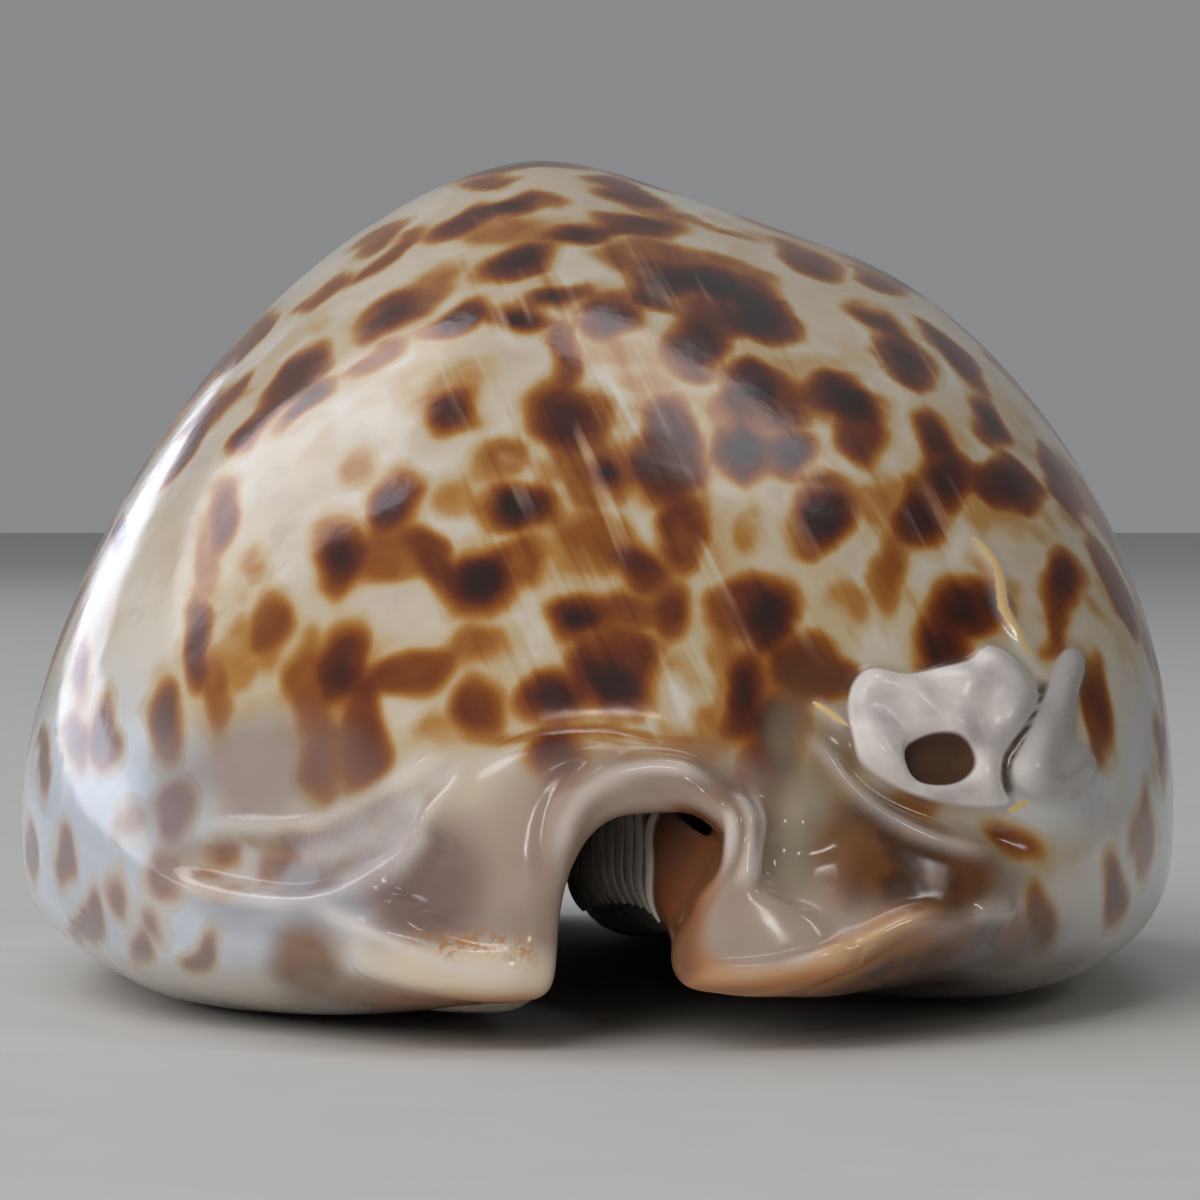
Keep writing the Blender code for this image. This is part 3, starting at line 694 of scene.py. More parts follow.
# How dark they are at least, what is added at most, and how much the dark ones are favoured. How
# much longer than wide they get, and the tilt of their long way.
DARK_LEAST, DARK_MORE, DARK_FAVOURED = 0.72, 0.28, 0.6
MOST_STRETCH, TILT = 0.5, 0.3
# Some have a wide pale blotch beside them: how often, how wide, how large, how dark, its reach.
BLOTCH_CHANCE, BLOTCH_WIDE, BLOTCH_SIZE = 0.4, (1.9, 1.7), 1.8
BLOTCH_DARK, BLOTCH_MORE, BLOTCH_REACH = 0.3, 0.25, 2.2


def wandering(points, size, amount):
    """Each point moved a little by smooth noise, so that outlines are never regular."""
    rows = [noise.noise_vector(Vector(point)) for point in points / size]
    return points + amount * np.array(rows)


def spot_rows():
    """The front end's spots: middle, measure, size, how dark, facing and reach of each.

    A spot's measure turns a way from its middle into shares of its two halves.
    """
    rows = []
    seen = np.flatnonzero(
        skinned & (facing[:, 1] < SEEN_FACING) & (places[:, 1] < SEEN_BACK)
    )
    seen_spots = places[seen][:, [0, 2]]
    for x, z, half_width, half_height, degrees, dark in FRONT_SPOTS:
        at = seen[np.argmin(((seen_spots - (x, z)) ** 2).sum(axis=1))]
        cosine, sine, n = np.cos(np.radians(degrees)), np.sin(np.radians(degrees)), facing[at]
        measure = np.array([[cosine, 0.0, sine], [-sine, 0.0, cosine]])
        measure /= [[half_width], [half_height]]
        size = np.sqrt(half_width * half_height / max(-n[1], STEEPEST))
        aside = HALO_REACH + REACH_SHARE * max(half_width, half_height)
        rows.append((places[at], measure, size, dark, n, (aside, LONGEST, aside)))
    return rows


def strewn_rows():
    """The spots that nobody placed: over the back, the hinder end and the flanks."""
    chance = np.random.default_rng(HIND_SEED)
    upper = places[:, 2] > LOWEST_SPOT
    ground = np.flatnonzero(outside & (facing[:, 1] > HIND_FACING) & upper)
    rows, taken, sizes = [], np.zeros((0, 3)), np.zeros(0)
    for _ in range(HIND_TRIES):
        at = chance.choice(ground)
        middle, n = places[at], facing[at]
        size = SMALLEST + (LARGEST - SMALLEST) * chance.random() ** SMALL_FAVOURED
        size *= LOW_SIZE + GAINED * rise(middle[2], *GAIN_EDGE)
        dark = DARK_LEAST + DARK_MORE * chance.random() ** DARK_FAVOURED
        stretch, turned = 1.0 + MOST_STRETCH * chance.random(), chance.random() * np.pi
        away = np.linalg.norm(taken - middle, axis=1)
        if (away < sizes + size + HIND_GAP).any():
            continue
        first = np.cross(n, [np.cos(turned), np.sin(turned), TILT])
        first /= np.linalg.norm(first)
        second = np.cross(n, first)
        aside = HALO_REACH + REACH_SHARE * size * stretch
        measure = np.array([first / stretch, second]) / size
        rows.append((middle, measure, size * np.sqrt(stretch), dark, n, (aside,) * 3))
        taken = np.concatenate([taken, middle[None]])
        sizes = np.append(sizes, size)
        if chance.random() < BLOTCH_CHANCE:
            wide, tall = BLOTCH_WIDE
            measure = np.array([first / (wide * stretch), second / tall]) / size
            dark = BLOTCH_DARK + BLOTCH_MORE * chance.random()
            reach = (BLOTCH_REACH * aside,) * 3
            rows.append((middle + first * size, measure, BLOTCH_SIZE * size, dark, n, reach))
    return rows


# Without a seed of its own, this noise would differ from run to run.
noise.seed_set(WANDER_SEED)
wandered = places
for wave in WANDER:
    wandered = wandering(wandered, *wave)
strayed = wandering(wandered, *HALO_WANDER)
calm = rubbed(shell.data, facing, half_share, FACING_ROUNDS)
skin_share = ~within * rise(calm[:, 2], *TURNED_UNDER)
inked = np.zeros(len(places))
for middle, measure, size, dark, n, reach in spot_rows() + strewn_rows():
    near = (skin_share > LEAST_SKIN) & (calm @ n > TURNED_AWAY[0])
    near &= (np.abs(wandered - middle) < reach).all(axis=1)
    gap = wandered[near] - middle
    oval = np.linalg.norm(gap @ measure.T, axis=1)
    halo = np.linalg.norm((strayed[near] - middle) @ measure.T, axis=1)
    kept = rise(calm[near] @ n, *TURNED_AWAY) * eased((reach[1] - np.abs(gap[:, 1])) / LONG_FADE)
    brown = min(dark, SPOT_BROWN) * np.interp((halo - 1.0) * size, *np.transpose(SPOT_FADE))
    core = eased((CORE_REACH - oval) / CORE_FADE) * max(dark - SPOT_BROWN, 0.0)
    inked[near] += ((brown + core) * kept) ** OVERLAP
keep_on_points(shell.data, "pigment", inked ** (1 / OVERLAP) * skin_share)

# Where the other colours of the enamel lie, and where painted shade and a painted reflection lie.
# Each patch is a soft oval of the front elevation: its middle (across, up), its half width and
# half height, its turn in degrees, and its strength.
PATCHES = {
    # Milky margin, its bluish white partly a painted reflection, strongest on the outer lip's side.
    "milk_and_sheen": (
        (-23.0, 8.0, 6.0, 7.5, 0, 1.0), (-17.5, 5.0, 6.0, 2.2, 0, 0.95),
        (-12.5, 7.0, 4.5, 2.4, 10, 0.8), (-14.0, 12.5, 4.0, 2.5, 0, 0.25),
        (26.5, 9.0, 2.5, 7.0, 0, 0.6), (21.5, 11.0, 4.0, 2.2, 0, 0.5),
    ),
    # Mauve skin round the canal, darkened as painted shade in the hollow on the outer lip's side.
    "mauve_and_shade": (
        (-7.7, 7.3, 3.0, 3.3, -10, 1.0), (-15.2, 12.4, 4.4, 2.4, 8, 0.62),
        (-11.8, 11.6, 2.4, 1.4, 25, 0.45), (0.8, 12.2, 4.5, 1.2, 0, 0.3),
        (-10.5, 9.5, 2.5, 1.4, 20, 0.8), (5.6, 12.4, 2.0, 1.2, -30, 0.4),
    ),
    "olive": ((9.4, 10.0, 1.7, 3.6, -8, 0.9), (8.6, 13.8, 1.2, 1.6, 0, 0.5)),
    "umber": (
        (11.8, 9.0, 2.2, 2.6, -25, 0.9), (-9.6, 10.6, 0.9, 0.8, 0, 0.6),
        (10.9, 13.2, 1.6, 1.8, 0, 0.7), (-12.9, 3.6, 1.9, 2.0, -30, 0.9),
        (-10.0, 2.4, 3.4, 0.9, 0, 0.8), (-8.9, 10.4, 2.2, 0.9, 35, 0.5),
        (10.0, 15.5, 2.2, 2.0, 0, 0.35),
    ),
    # Painted shade: slate grey darkening in and about the fold on the outer lip's side.
    "slate_shade": (
        (-11.0, 7.4, 3.6, 1.3, 20, 0.75), (-14.5, 5.6, 3.4, 1.1, -5, 0.45),
        (-19.6, 10.6, 1.8, 2.6, 20, 0.45), (-15.6, 9.6, 3.0, 0.9, 5, 0.4),
    ),
    # Chestnut behind and under the inner foot's roll: its own brown, deepened as painted shade
    # there.
    "chestnut_and_shade": (
        (15.0, 7.6, 4.2, 2.2, -8, 1.0), (13.0, 3.9, 5.5, 1.2, 5, 1.0),
        (18.0, 4.2, 3.8, 1.9, 0, 0.85), (14.0, 9.4, 3.2, 1.3, -22, 0.95),
        (13.4, 2.6, 5.0, 1.5, 0, 1.0), (20.0, 2.8, 3.2, 1.4, 10, 0.6),
    ),
    "tan": (
        (-9.5, 15.5, 6.0, 3.0, 0, 0.55), (4.0, 15.0, 7.0, 3.0, 0, 0.6),
        (0.0, 36.0, 8.0, 4.0, 0, 0.45), (12.5, 22.0, 3.0, 6.0, 0, 0.62),
        (-17.0, 17.5, 2.5, 4.0, 0, 0.6), (2.0, 22.0, 5.0, 5.0, 0, 0.5),
        (10.8, 12.5, 2.0, 2.0, 0, 0.6), (-13.0, 30.0, 5.0, 4.0, 40, 0.3),
        (20.5, 22.0, 5.5, 8.5, 20, 0.52), (1.0, 29.5, 4.0, 3.0, 0, 0.5),
        (8.5, 31.5, 6.0, 2.6, -20, 0.42), (-9.0, 32.0, 6.0, 2.0, 38, 0.35),
    ),
}
# A patch's soft outline, and where along the shell the patches end: start and stretch.
PATCH_OUTLINE, PATCHES_END = (1.4, -0.9), (8.0, -10.0)
# Where each finish lies: soft edges across (x), along (y) and up (z) the shell, or in from the
# front rim (rings), each with its start and its stretch.
EDGES = {
    "feet": (("y", -31.0, -5.0),),
    "scar_shade": (("x", 18.0, 3.5),),
    "outer_side": (("x", -0.9, -1.2), ("z", 2.3, 1.0)),
    "speckled": (
        ("z", 5.6, -0.5), ("z", 4.0, 0.6), ("y", -33.0, -4.0), ("x", -2.0, -0.8), ("x", -9.0, 1.5),
    ),
    "streaked": (("x", -9.0, 5.0), ("x", 19.0, -4.0), ("z", 12.0, 4.0), ("y", -5.0, -6.0)),
    "within": (("rings", 10.0, 18.0),),
    "canal_wall": (("rings", 5.0, 6.0), ("y", -27.0, -4.0), ("z", 12.6, -2.0)),
    "canal_roof": (("z", 8.5, 3.0), ("y", -20.0, -6.0)),
    "margin": (("z", 9.0, -6.0),),
    "rolled": (("x", 1.0, 1.0), ("x", 9.5, -2.0), ("z", 5.8, -1.0)),
}
# The skin round each canal: the canal's middle and the skin's reach, how much flatter the front
# one is, how softly it ends, and how near the ends of the shell it lies.
FRONT_CANAL, FRONT_CANAL_REACH, FRONT_CANAL_FLAT = (2.2, 6.2), 11.0, 1.35
HIND_CANAL, HIND_CANAL_REACH = (1.8, 7.5), 9.5
CANAL_FADE, CANAL_ENDS = 2.6, (26.0, 7.0)
# The inner lip's foot ends in an orange roll that climbs along its rim. The colour's soft edges
# about the roll, under it and across it, and below the outer lip's foot.
RIGHT_ROLL = (
    (4.4, 7.6), (3.3, 5.6), (3.6, 4.0), (5.0, 3.0), (7.0, 2.8), (9.2, 3.3), (11.0, 4.1),
    (12.4, 5.0), (15.0, 5.6),
)
ROLL_ABOUT, ROLL_UNDER, ROLL_ACROSS = (1.35, -0.7), (3.4, -0.6), (11.0, -2.0)
OUTER_FOOT_UNDER = (5.3, -1.2)
# The feet's colour runs out to both sides of a middle, less far on the outer lip's side.
FEET_MIDDLE, FEET_REACH, OUTER_LESS, FEET_FADE = 1.0, 16.0, 3.0, 4.0
# How far under the skin has to turn to be the pale base: start and stretch. How far the canal's
# inner wall may face the inner lip's side.
BASE_UNDER, WALL_FACING = (-0.55, -0.4), 0.3
# The milky margin climbs towards the ends of the shell.
MARGIN_START, MARGIN_CLIMB, MARGIN_STRETCH = 60.0, 2.0, 20.0
# How much weaker the painted highlight along a ridge's crest is on the orange roll, and the rounds
# that soften every mask.
ROLL_HIGHLIGHT_LESS, SOFT_ROUNDS = 0.4, 4
# How wide the scar's dark seam is and how softly it ends, and the share where its ends die away.
SEAM_WIDTH, SEAM_TAPER = (0.5, -0.35), 0.12
# Painted golden glint: its lines and half widths, how far it reaches, and how it thins at the ends.
GLINT_LINES = ((GLINT_BEAD, 0.26), (SHORT_BEAD, 0.13), (((18.7, 10.2), (20.0, 10.6)), 0.17))
GLINT_REACH, GLINT_THIN, GLINT_SWELL = 1.5, 0.45, 0.55
# Streaks fan down the front end: which way they run, and how little they change along that way
# and along the shell.
STREAK_WAY, STREAK_LONG, STREAK_DEEP = (0.906, 0.42), 0.06, 0.04


def on_front_only(rows, elsewhere=-FAR):
    """Numbers for the front end's points, and one number elsewhere."""
    values = np.full(len(places), elsewhere)
    values[on_front] = rows
    return values


def patch_share(rows):
    """How strongly some soft ovals cover each point."""
    share = np.zeros(len(places))
    for across, up, half_width, half_height, degrees, strength in rows:
        cosine, sine = np.cos(np.radians(degrees)), np.sin(np.radians(degrees))
        dx, dz = x - across, z - up
        along_it = (dx * cosine + dz * sine) / half_width
        across_it = (dz * cosine - dx * sine) / half_height
        oval = np.hypot(along_it, across_it)
        share = np.maximum(share, strength * rise(oval, *PATCH_OUTLINE))
    return share


x, y, z = wandered.T
ways = {"x": x, "y": y, "z": z, "rings": rings_in}
shares = {name: soft_edges(ways, edges) for name, edges in EDGES.items()}
front_way = np.hypot(x - FRONT_CANAL[0], FRONT_CANAL_FLAT * (z - FRONT_CANAL[1]))
hind_way = np.hypot(x - HIND_CANAL[0], z - HIND_CANAL[1])
canal_way = np.where(y < 0, front_way - FRONT_CANAL_REACH, hind_way - HIND_CANAL_REACH)
shares["canal"] = rise(np.abs(y), *CANAL_ENDS) * eased(-canal_way / CANAL_FADE)
roll_gap, _ = line_distance(wandered[:, [0, 2]], rounded(RIGHT_ROLL))
inner_foot = np.maximum(rise(roll_gap, *ROLL_ABOUT), rise(z, *ROLL_UNDER) * rise(x, *ROLL_ACROSS))
foot_band = np.where(x > 0.0, inner_foot, rise(z, *OUTER_FOOT_UNDER))
foot_reach = FEET_REACH - np.abs(x - FEET_MIDDLE) - OUTER_LESS * (x < 0.0)
shares["feet"] = foot_band * shares["feet"] * eased(foot_reach / FEET_FADE)
shares["base"] = (~outside & ~within) * rise(facing[:, 2], *BASE_UNDER)
shares["within"] = within * shares["within"]
canal_wall = within * (steps > 0) * (facing[:, 0] < WALL_FACING)
shares["canal_wall"] = canal_wall * shares["canal_wall"]
shares["margin"] *= eased((np.abs(y) + MARGIN_START - MARGIN_CLIMB * z) / MARGIN_STRETCH)
for name, rows in PATCHES.items():
    grown_over = ~within if name in ("umber", "chestnut_and_shade") else skin_share
    shares[name] = patch_share(rows) * grown_over * rise(y, *PATCHES_END)
# The painted highlight along the crests, weaker on the orange roll.
shares["crest"] = on_front_only(crest, 0.0) * (1.0 - ROLL_HIGHLIGHT_LESS * shares.pop("rolled"))
soft_shares = rubbed(shell.data, np.stack(list(shares.values()), axis=1), half_share, SOFT_ROUNDS)
masks = dict(zip(shares, soft_shares.T))
seam_gap, seam_passed = line_distance(front_spots, rounded(SEAM))
seam = rise(seam_gap, *SEAM_WIDTH) * from_ends(seam_passed, SEAM_TAPER)
masks["seam"] = on_front_only(seam, 0.0)
# A painted highlight: a golden glint along the thin raised beads.
gold_glint = np.zeros(len(front_spots))
for line, half_width in GLINT_LINES:
    gap, share = line_distance(front_spots, line)
    width = half_width * (GLINT_THIN + GLINT_SWELL * np.sin(np.pi * share))
    gold_glint = np.maximum(gold_glint, GLINT_REACH - gap / width)
for name, rows in {"scar": scar, "pit": pit, "fold": fold, "gold_glint": gold_glint}.items():
    masks[name] = on_front_only(rows)
for name, values in masks.items():
    keep_on_points(shell.data, name, values)
across, _, up = places.T
lean_across, lean_up = STREAK_WAY
fan = [
    lean_across * across + lean_up * up,
    STREAK_LONG * (lean_across * up - lean_up * across),
    STREAK_DEEP * places[:, 1],
]
fan_row = shell.data.attributes.new("fan", "FLOAT_VECTOR", "POINT")
fan_row.data.foreach_set("vector", (np.stack(fan, axis=1) * MM).astype(np.float32).ravel())


# The enamel: glossy aragonite laid down in clear and milky layers. Its pigment runs from cream
# through gold and orange-brown to nearly black, and the same skin of faint ripples and haze covers
# the wall and the teeth.
CREAM, IVORY, LILAC = (0.57, 0.46, 0.33), (0.70, 0.64, 0.55), (0.46, 0.38, 0.35)
PIGMENT_STOPS = (
    (0.10, (0.60, 0.50, 0.38)), (0.23, (0.56, 0.42, 0.24)), (0.37, (0.45, 0.21, 0.045)),
    (0.53, (0.29, 0.084, 0.007)), (0.70, (0.145, 0.028, 0.003)), (0.86, (0.060, 0.010, 0.004)),
    (0.98, (0.026, 0.008, 0.005)),
)
# The last colour on the next line is painted shade.
MILK_AND_SHEEN, MILKY_GREY, SLATE_SHADE = (0.78, 0.87, 0.97), (0.56, 0.60, 0.68), (0.20, 0.20, 0.235)
# The last colour on the next line is mauve skin darkened as painted shade.
CANAL_SKIN, CANAL_SHADE, MAUVE_AND_SHADE = (0.46, 0.33, 0.26), (0.33, 0.21, 0.15), (0.21, 0.13, 0.115)
OLIVE, UMBER = (0.33, 0.28, 0.19), (0.21, 0.09, 0.028)
# The first colour on the next line is chestnut deepened as painted shade.
CHESTNUT_AND_SHADE, RUSSET = (0.050, 0.017, 0.007), (0.17, 0.062, 0.018)
CANAL_BROWN, ROOF_BROWN = (0.25, 0.088, 0.038), (0.20, 0.085, 0.042)
FOOT_CREAM, FOOT_BROWN = (0.84, 0.69, 0.50), (0.48, 0.19, 0.055)
# Painted highlight colours for the crests: white, and gold on the inner foot's orange roll.
GOLD_CREST_HIGHLIGHT, WHITE_CREST_HIGHLIGHT = (0.78, 0.56, 0.32), (0.80, 0.73, 0.68)
BASE_WHITE, WITHIN_PALE = (0.66, 0.60, 0.52), (0.42, 0.39, 0.37)
SCAR_WHITE, SCAR_GREY, SCAR_SHADE = (0.84, 0.77, 0.73), (0.56, 0.51, 0.49), (0.46, 0.43, 0.42)
# The third colour on the next line is a painted golden glint.
SCAR_SEAM, PIT_BROWN, GOLD_GLINT = (0.07, 0.04, 0.025), (0.075, 0.030, 0.013), (0.85, 0.60, 0.28)
# Clouds that break up the colours: the size of their lumps in millimetres, and their detail,
# roughness and seed.
CLOUDS = {
    "wash": (9.0, 3.0, 0.55, 1.0),
    "mottle": (2.4, 2.0, 0.45, 2.0),
    "streak_groups": (5.0, 2.0, 0.5, 3.0),
    "tan_clumps": (3.2, 1.5, 0.4, 5.0),
    "specks": (0.5, 3.0, 0.6, 6.0),
}
# Tones that go from one colour to another as a cloud goes from one level to another.
TONES = {
    "ground": ("wash", 0.35, 0.65, CREAM, IVORY),
    # The milky tone's bluish white is partly a painted reflection.
    "milk_and_sheen": ("wash", 0.4, 0.62, MILK_AND_SHEEN, MILKY_GREY),
    "base": ("haze", 0.35, 0.7, BASE_WHITE, IVORY),
    "canal": ("wash", 0.38, 0.66, CANAL_SKIN, CANAL_SHADE),
    # Chestnut, partly painted shade under the inner foot's roll.
    "chestnut_and_shade": ("mottle", 0.38, 0.62, CHESTNUT_AND_SHADE, RUSSET),
    "fold": ("mottle", 0.4, 0.6, MILKY_GREY, CANAL_SHADE),
    "canal_wall": ("mottle", 0.4, 0.65, CANAL_BROWN, ROOF_BROWN),
    "scar": ("haze", 0.42, 0.7, SCAR_WHITE, SCAR_GREY),
}
# How strongly each thing colours the enamel where it lies.
STRENGTH = {
    "lilac": 0.45, "milk_and_sheen": 0.95, "margin": 0.5, "streaks": 0.24, "canal": 0.85, "fold": 0.4,
    "feet": 0.9, "specks": 0.8, "crest": 0.72, "seam": 0.95, "outline": 0.25,
}
# How the pigment varies: with the mottle, with tan clumps and how softly they join it, where it is
# drawn out in streaks, and how much the pale streaks thin it.
MOTTLED, TAN_DEPTH, TAN_JOIN, DRAWN_LEAST, DRAWN_MOST = 0.42, 0.68, 0.15, 0.02, 0.09
STREAK_SIZE, STREAK_THINS = 0.8, 0.26
# Gloss: of the enamel, of its thin clear coat, how hazy it gets, and how dull the scar and pit are.
ENAMEL_IOR, COAT_WEIGHT, COAT_ROUGHNESS, GLOSSIEST, DULLEST = 1.58, 0.2, 0.10, 0.10, 0.24
SCAR_DULL, PIT_DULL = 0.10, 0.45
# The skin's pores and haze: the size of their lumps, and how deep a pore is beside a ripple.
PORE_SIZE, PORE_DEPTH, HAZE_SIZE = 0.35, 0.08, 3.5


def tree_of(*values):
    """The tree that the first socket among the values belongs to."""
    return next(value.id_data for value in values if isinstance(value, bpy.types.NodeSocket))


def feed(socket, value):
    """Links a socket to another one, or gives it a colour or a number."""
    if isinstance(value, bpy.types.NodeSocket):
        socket.id_data.links.new(value, socket)
    else:
        socket.default_value = (*value, 1.0) if isinstance(value, tuple) else value


def sum_up(operation, *values):
    """A Math node over numbers or sockets."""
    made = tree_of(*values).nodes.new("ShaderNodeMath")
    made.operation = operation
    for socket, value in zip(made.inputs, values):
        feed(socket, value)
    return made.outputs[0]


def product(*values):
    """The product of two or more numbers or sockets."""
    total = values[0]
    for value in values[1:]:
        total = sum_up("MULTIPLY", total, value)
    return total


def blend(share, first, second):
    """One colour over another by a share from 0 to 1."""
    made = share.id_data.nodes.new("ShaderNodeMix")
    made.data_type = "RGBA"
    for at, value in ((0, share), (6, first), (7, second)):
        feed(made.inputs[at], value)
    return made.outputs[2]


def between(value, low, high, to_low=0.0, to_high=1.0):
    """A smooth step of a value from one level to another."""
    made = value.id_data.nodes.new("ShaderNodeMapRange")
    made.interpolation_type = "SMOOTHSTEP"
    for socket, number in zip(made.inputs, (value, low, high, to_low, to_high)):
        feed(socket, number)
    return made.outputs[0]


def cloud(place, size, detail=3.0, rough=0.5, seed=0.0):
    """Noise from 0 to 1 whose lumps are about size millimetres across."""
    made = place.id_data.nodes.new("ShaderNodeTexNoise")
    made.noise_dimensions = "4D"
    levels = {"Vector": place, "W": seed, "Scale": 1.0 / (size * MM), "Detail": detail}
    for name, value in (levels | {"Roughness": rough}).items():
        feed(made.inputs[name], value)
    return made.outputs["Fac"]


def plain_cloud(place, scale):
    """Noise from 0 to 1 of two layers, at a number or socket that says how fine it is."""
    made = place.id_data.nodes.new("ShaderNodeTexNoise")
    for name, value in {"Vector": place, "Scale": scale, "Detail": 2.0}.items():
        feed(made.inputs[name], value)
    return made.outputs["Fac"]


def read(tree, name, output="Fac"):
    """What is kept on the mesh's points under a name."""
    made = tree.nodes.new("ShaderNodeAttribute")
    made.attribute_name = name
    return made.outputs[output]


skin = bpy.data.node_groups.new("enamel skin", "ShaderNodeTree")
for name, kind, way in (
    ("Place", "NodeSocketVector", "INPUT"),
    ("Ripple Size", "NodeSocketFloat", "INPUT"),
    ("Ripple Depth", "NodeSocketFloat", "INPUT"),
    ("Haze", "NodeSocketFloat", "OUTPUT"),
    ("Roughness", "NodeSocketFloat", "OUTPUT"),
    ("Normal", "NodeSocketVector", "OUTPUT"),
):
    skin.interface.new_socket(name, in_out=way, socket_type=kind)
skin_in = skin.nodes.new("NodeGroupInput").outputs
skin_out = skin.nodes.new("NodeGroupOutput").inputs
ripple = plain_cloud(skin_in["Place"], sum_up("DIVIDE", 1.0 / MM, skin_in["Ripple Size"]))
pores = cloud(skin_in["Place"], PORE_SIZE, 2.0)
haze = cloud(skin_in["Place"], HAZE_SIZE, 4.0, 0.6)
bump = skin.nodes.new("ShaderNodeBump")
feed(bump.inputs["Distance"], MM)
feed(bump.inputs["Strength"], skin_in["Ripple Depth"])
feed(bump.inputs["Height"], sum_up("ADD", ripple, product(pores, PORE_DEPTH)))
feed(skin_out["Haze"], haze)
feed(skin_out["Roughness"], between(haze, 0.3, 0.75, GLOSSIEST, DULLEST))
feed(skin_out["Normal"], bump.outputs["Normal"])


def enamel(name, ripple_size, ripple_depth):
    """A new enamel with its skin in place: the material, its tree, its surface, place and haze."""
    made = bpy.data.materials.new(name)
    made.use_nodes = True
    tree = made.node_tree
    surface = tree.nodes["Principled BSDF"].inputs
    place = tree.nodes.new("ShaderNodeTexCoord").outputs["Object"]
    coat = tree.nodes.new("ShaderNodeGroup")
    coat.node_tree = skin
    for socket, value in (
        (coat.inputs["Place"], place),
        (coat.inputs["Ripple Size"], ripple_size),
        (coat.inputs["Ripple Depth"], ripple_depth),
        (surface["Roughness"], coat.outputs["Roughness"]),
        (surface["Normal"], coat.outputs["Normal"]),
        (surface["IOR"], ENAMEL_IOR),
        (surface["Coat Weight"], COAT_WEIGHT),
        (surface["Coat Roughness"], COAT_ROUGHNESS),
    ):
        feed(socket, value)
    return made, tree, surface, place, coat.outputs["Haze"]


shell_look, tree, surface, place, haze = enamel("shell_enamel", 2.6, 0.05)
where = {name: read(tree, name) for name in ("pigment", *masks)}
clouds = {name: cloud(place, *sizes) for name, sizes in CLOUDS.items()} | {"haze": haze}
tones = {
    name: blend(between(clouds[by], low, high), first, second)
    for name, (by, low, high, first, second) in TONES.items()
}
streak = plain_cloud(read(tree, "fan", "Vector"), 1.0 / (STREAK_SIZE * MM))
grouped = between(clouds["streak_groups"], 0.45, 0.65)
streaks = product(between(streak, 0.50, 0.72), grouped, where["streaked"])
drawn = product(between(streak, 0.48, 0.28), where["streaked"])
# How much pigment there is.
uneven = product(sum_up("SUBTRACT", clouds["mottle"], 0.5), MOTTLED)
tinted = product(where["tan"], between(clouds["tan_clumps"], 0.36, 0.62, 0.0, TAN_DEPTH))
ink = sum_up("ADD", where["pigment"], uneven)
ink = sum_up("SMOOTH_MAX", ink, tinted, TAN_JOIN)
ink = sum_up("ADD", ink, product(drawn, between(ink, -0.02, 0.12, DRAWN_LEAST, DRAWN_MOST)))
ink = sum_up("SUBTRACT", ink, product(streaks, STREAK_THINS))
stops = tree.nodes.new("ShaderNodeValToRGB")
feed(stops.inputs["Fac"], ink)
for _ in range(len(PIGMENT_STOPS) - 2):
    stops.color_ramp.elements.new(0.5)
for stop, (level, colour) in zip(stops.color_ramp.elements, PIGMENT_STOPS):
    stop.position, stop.color = level, (*colour, 1.0)
# Milk veils the pigment, and hides the strong brown less. Its bluish white is partly a painted
# reflection.
milk_and_sheen = sum_up("MAXIMUM", where["milk_and_sheen"], product(where["margin"], STRENGTH["margin"]))
veil = product(milk_and_sheen, between(ink, 0.2, 0.6, 0.6, 0.28))
inked_share = sum_up("MAXIMUM", sum_up("SUBTRACT", between(ink, 0.03, 0.16), veil), 0.0)
mottled_share = between(clouds["mottle"], 0.3, 0.5, 0.9, 1.0)
foot_tone = blend(where["outer_side"], FOOT_BROWN, FOOT_CREAM)
# The crests' painted highlight is gold on the inner foot's roll and white elsewhere.
on_roll = product(where["feet"], sum_up("SUBTRACT", 1.0, where["outer_side"]))
crest_highlight_tone = blend(on_roll, WHITE_CREST_HIGHLIGHT, GOLD_CREST_HIGHLIGHT)
specks = between(clouds["specks"], 0.46, 0.60)
within_tone = blend(where["canal_roof"], WITHIN_PALE, ROOF_BROWN)
outline = product(between(where["scar"], -0.65, -0.12), STRENGTH["outline"])
seam_share = sum_up("MAXIMUM", outline, product(where["seam"], STRENGTH["seam"]))
scar_share = between(where["scar"], -0.12, 0.06)
scar_tone = blend(where["scar_shade"], tones["scar"], SCAR_SHADE)
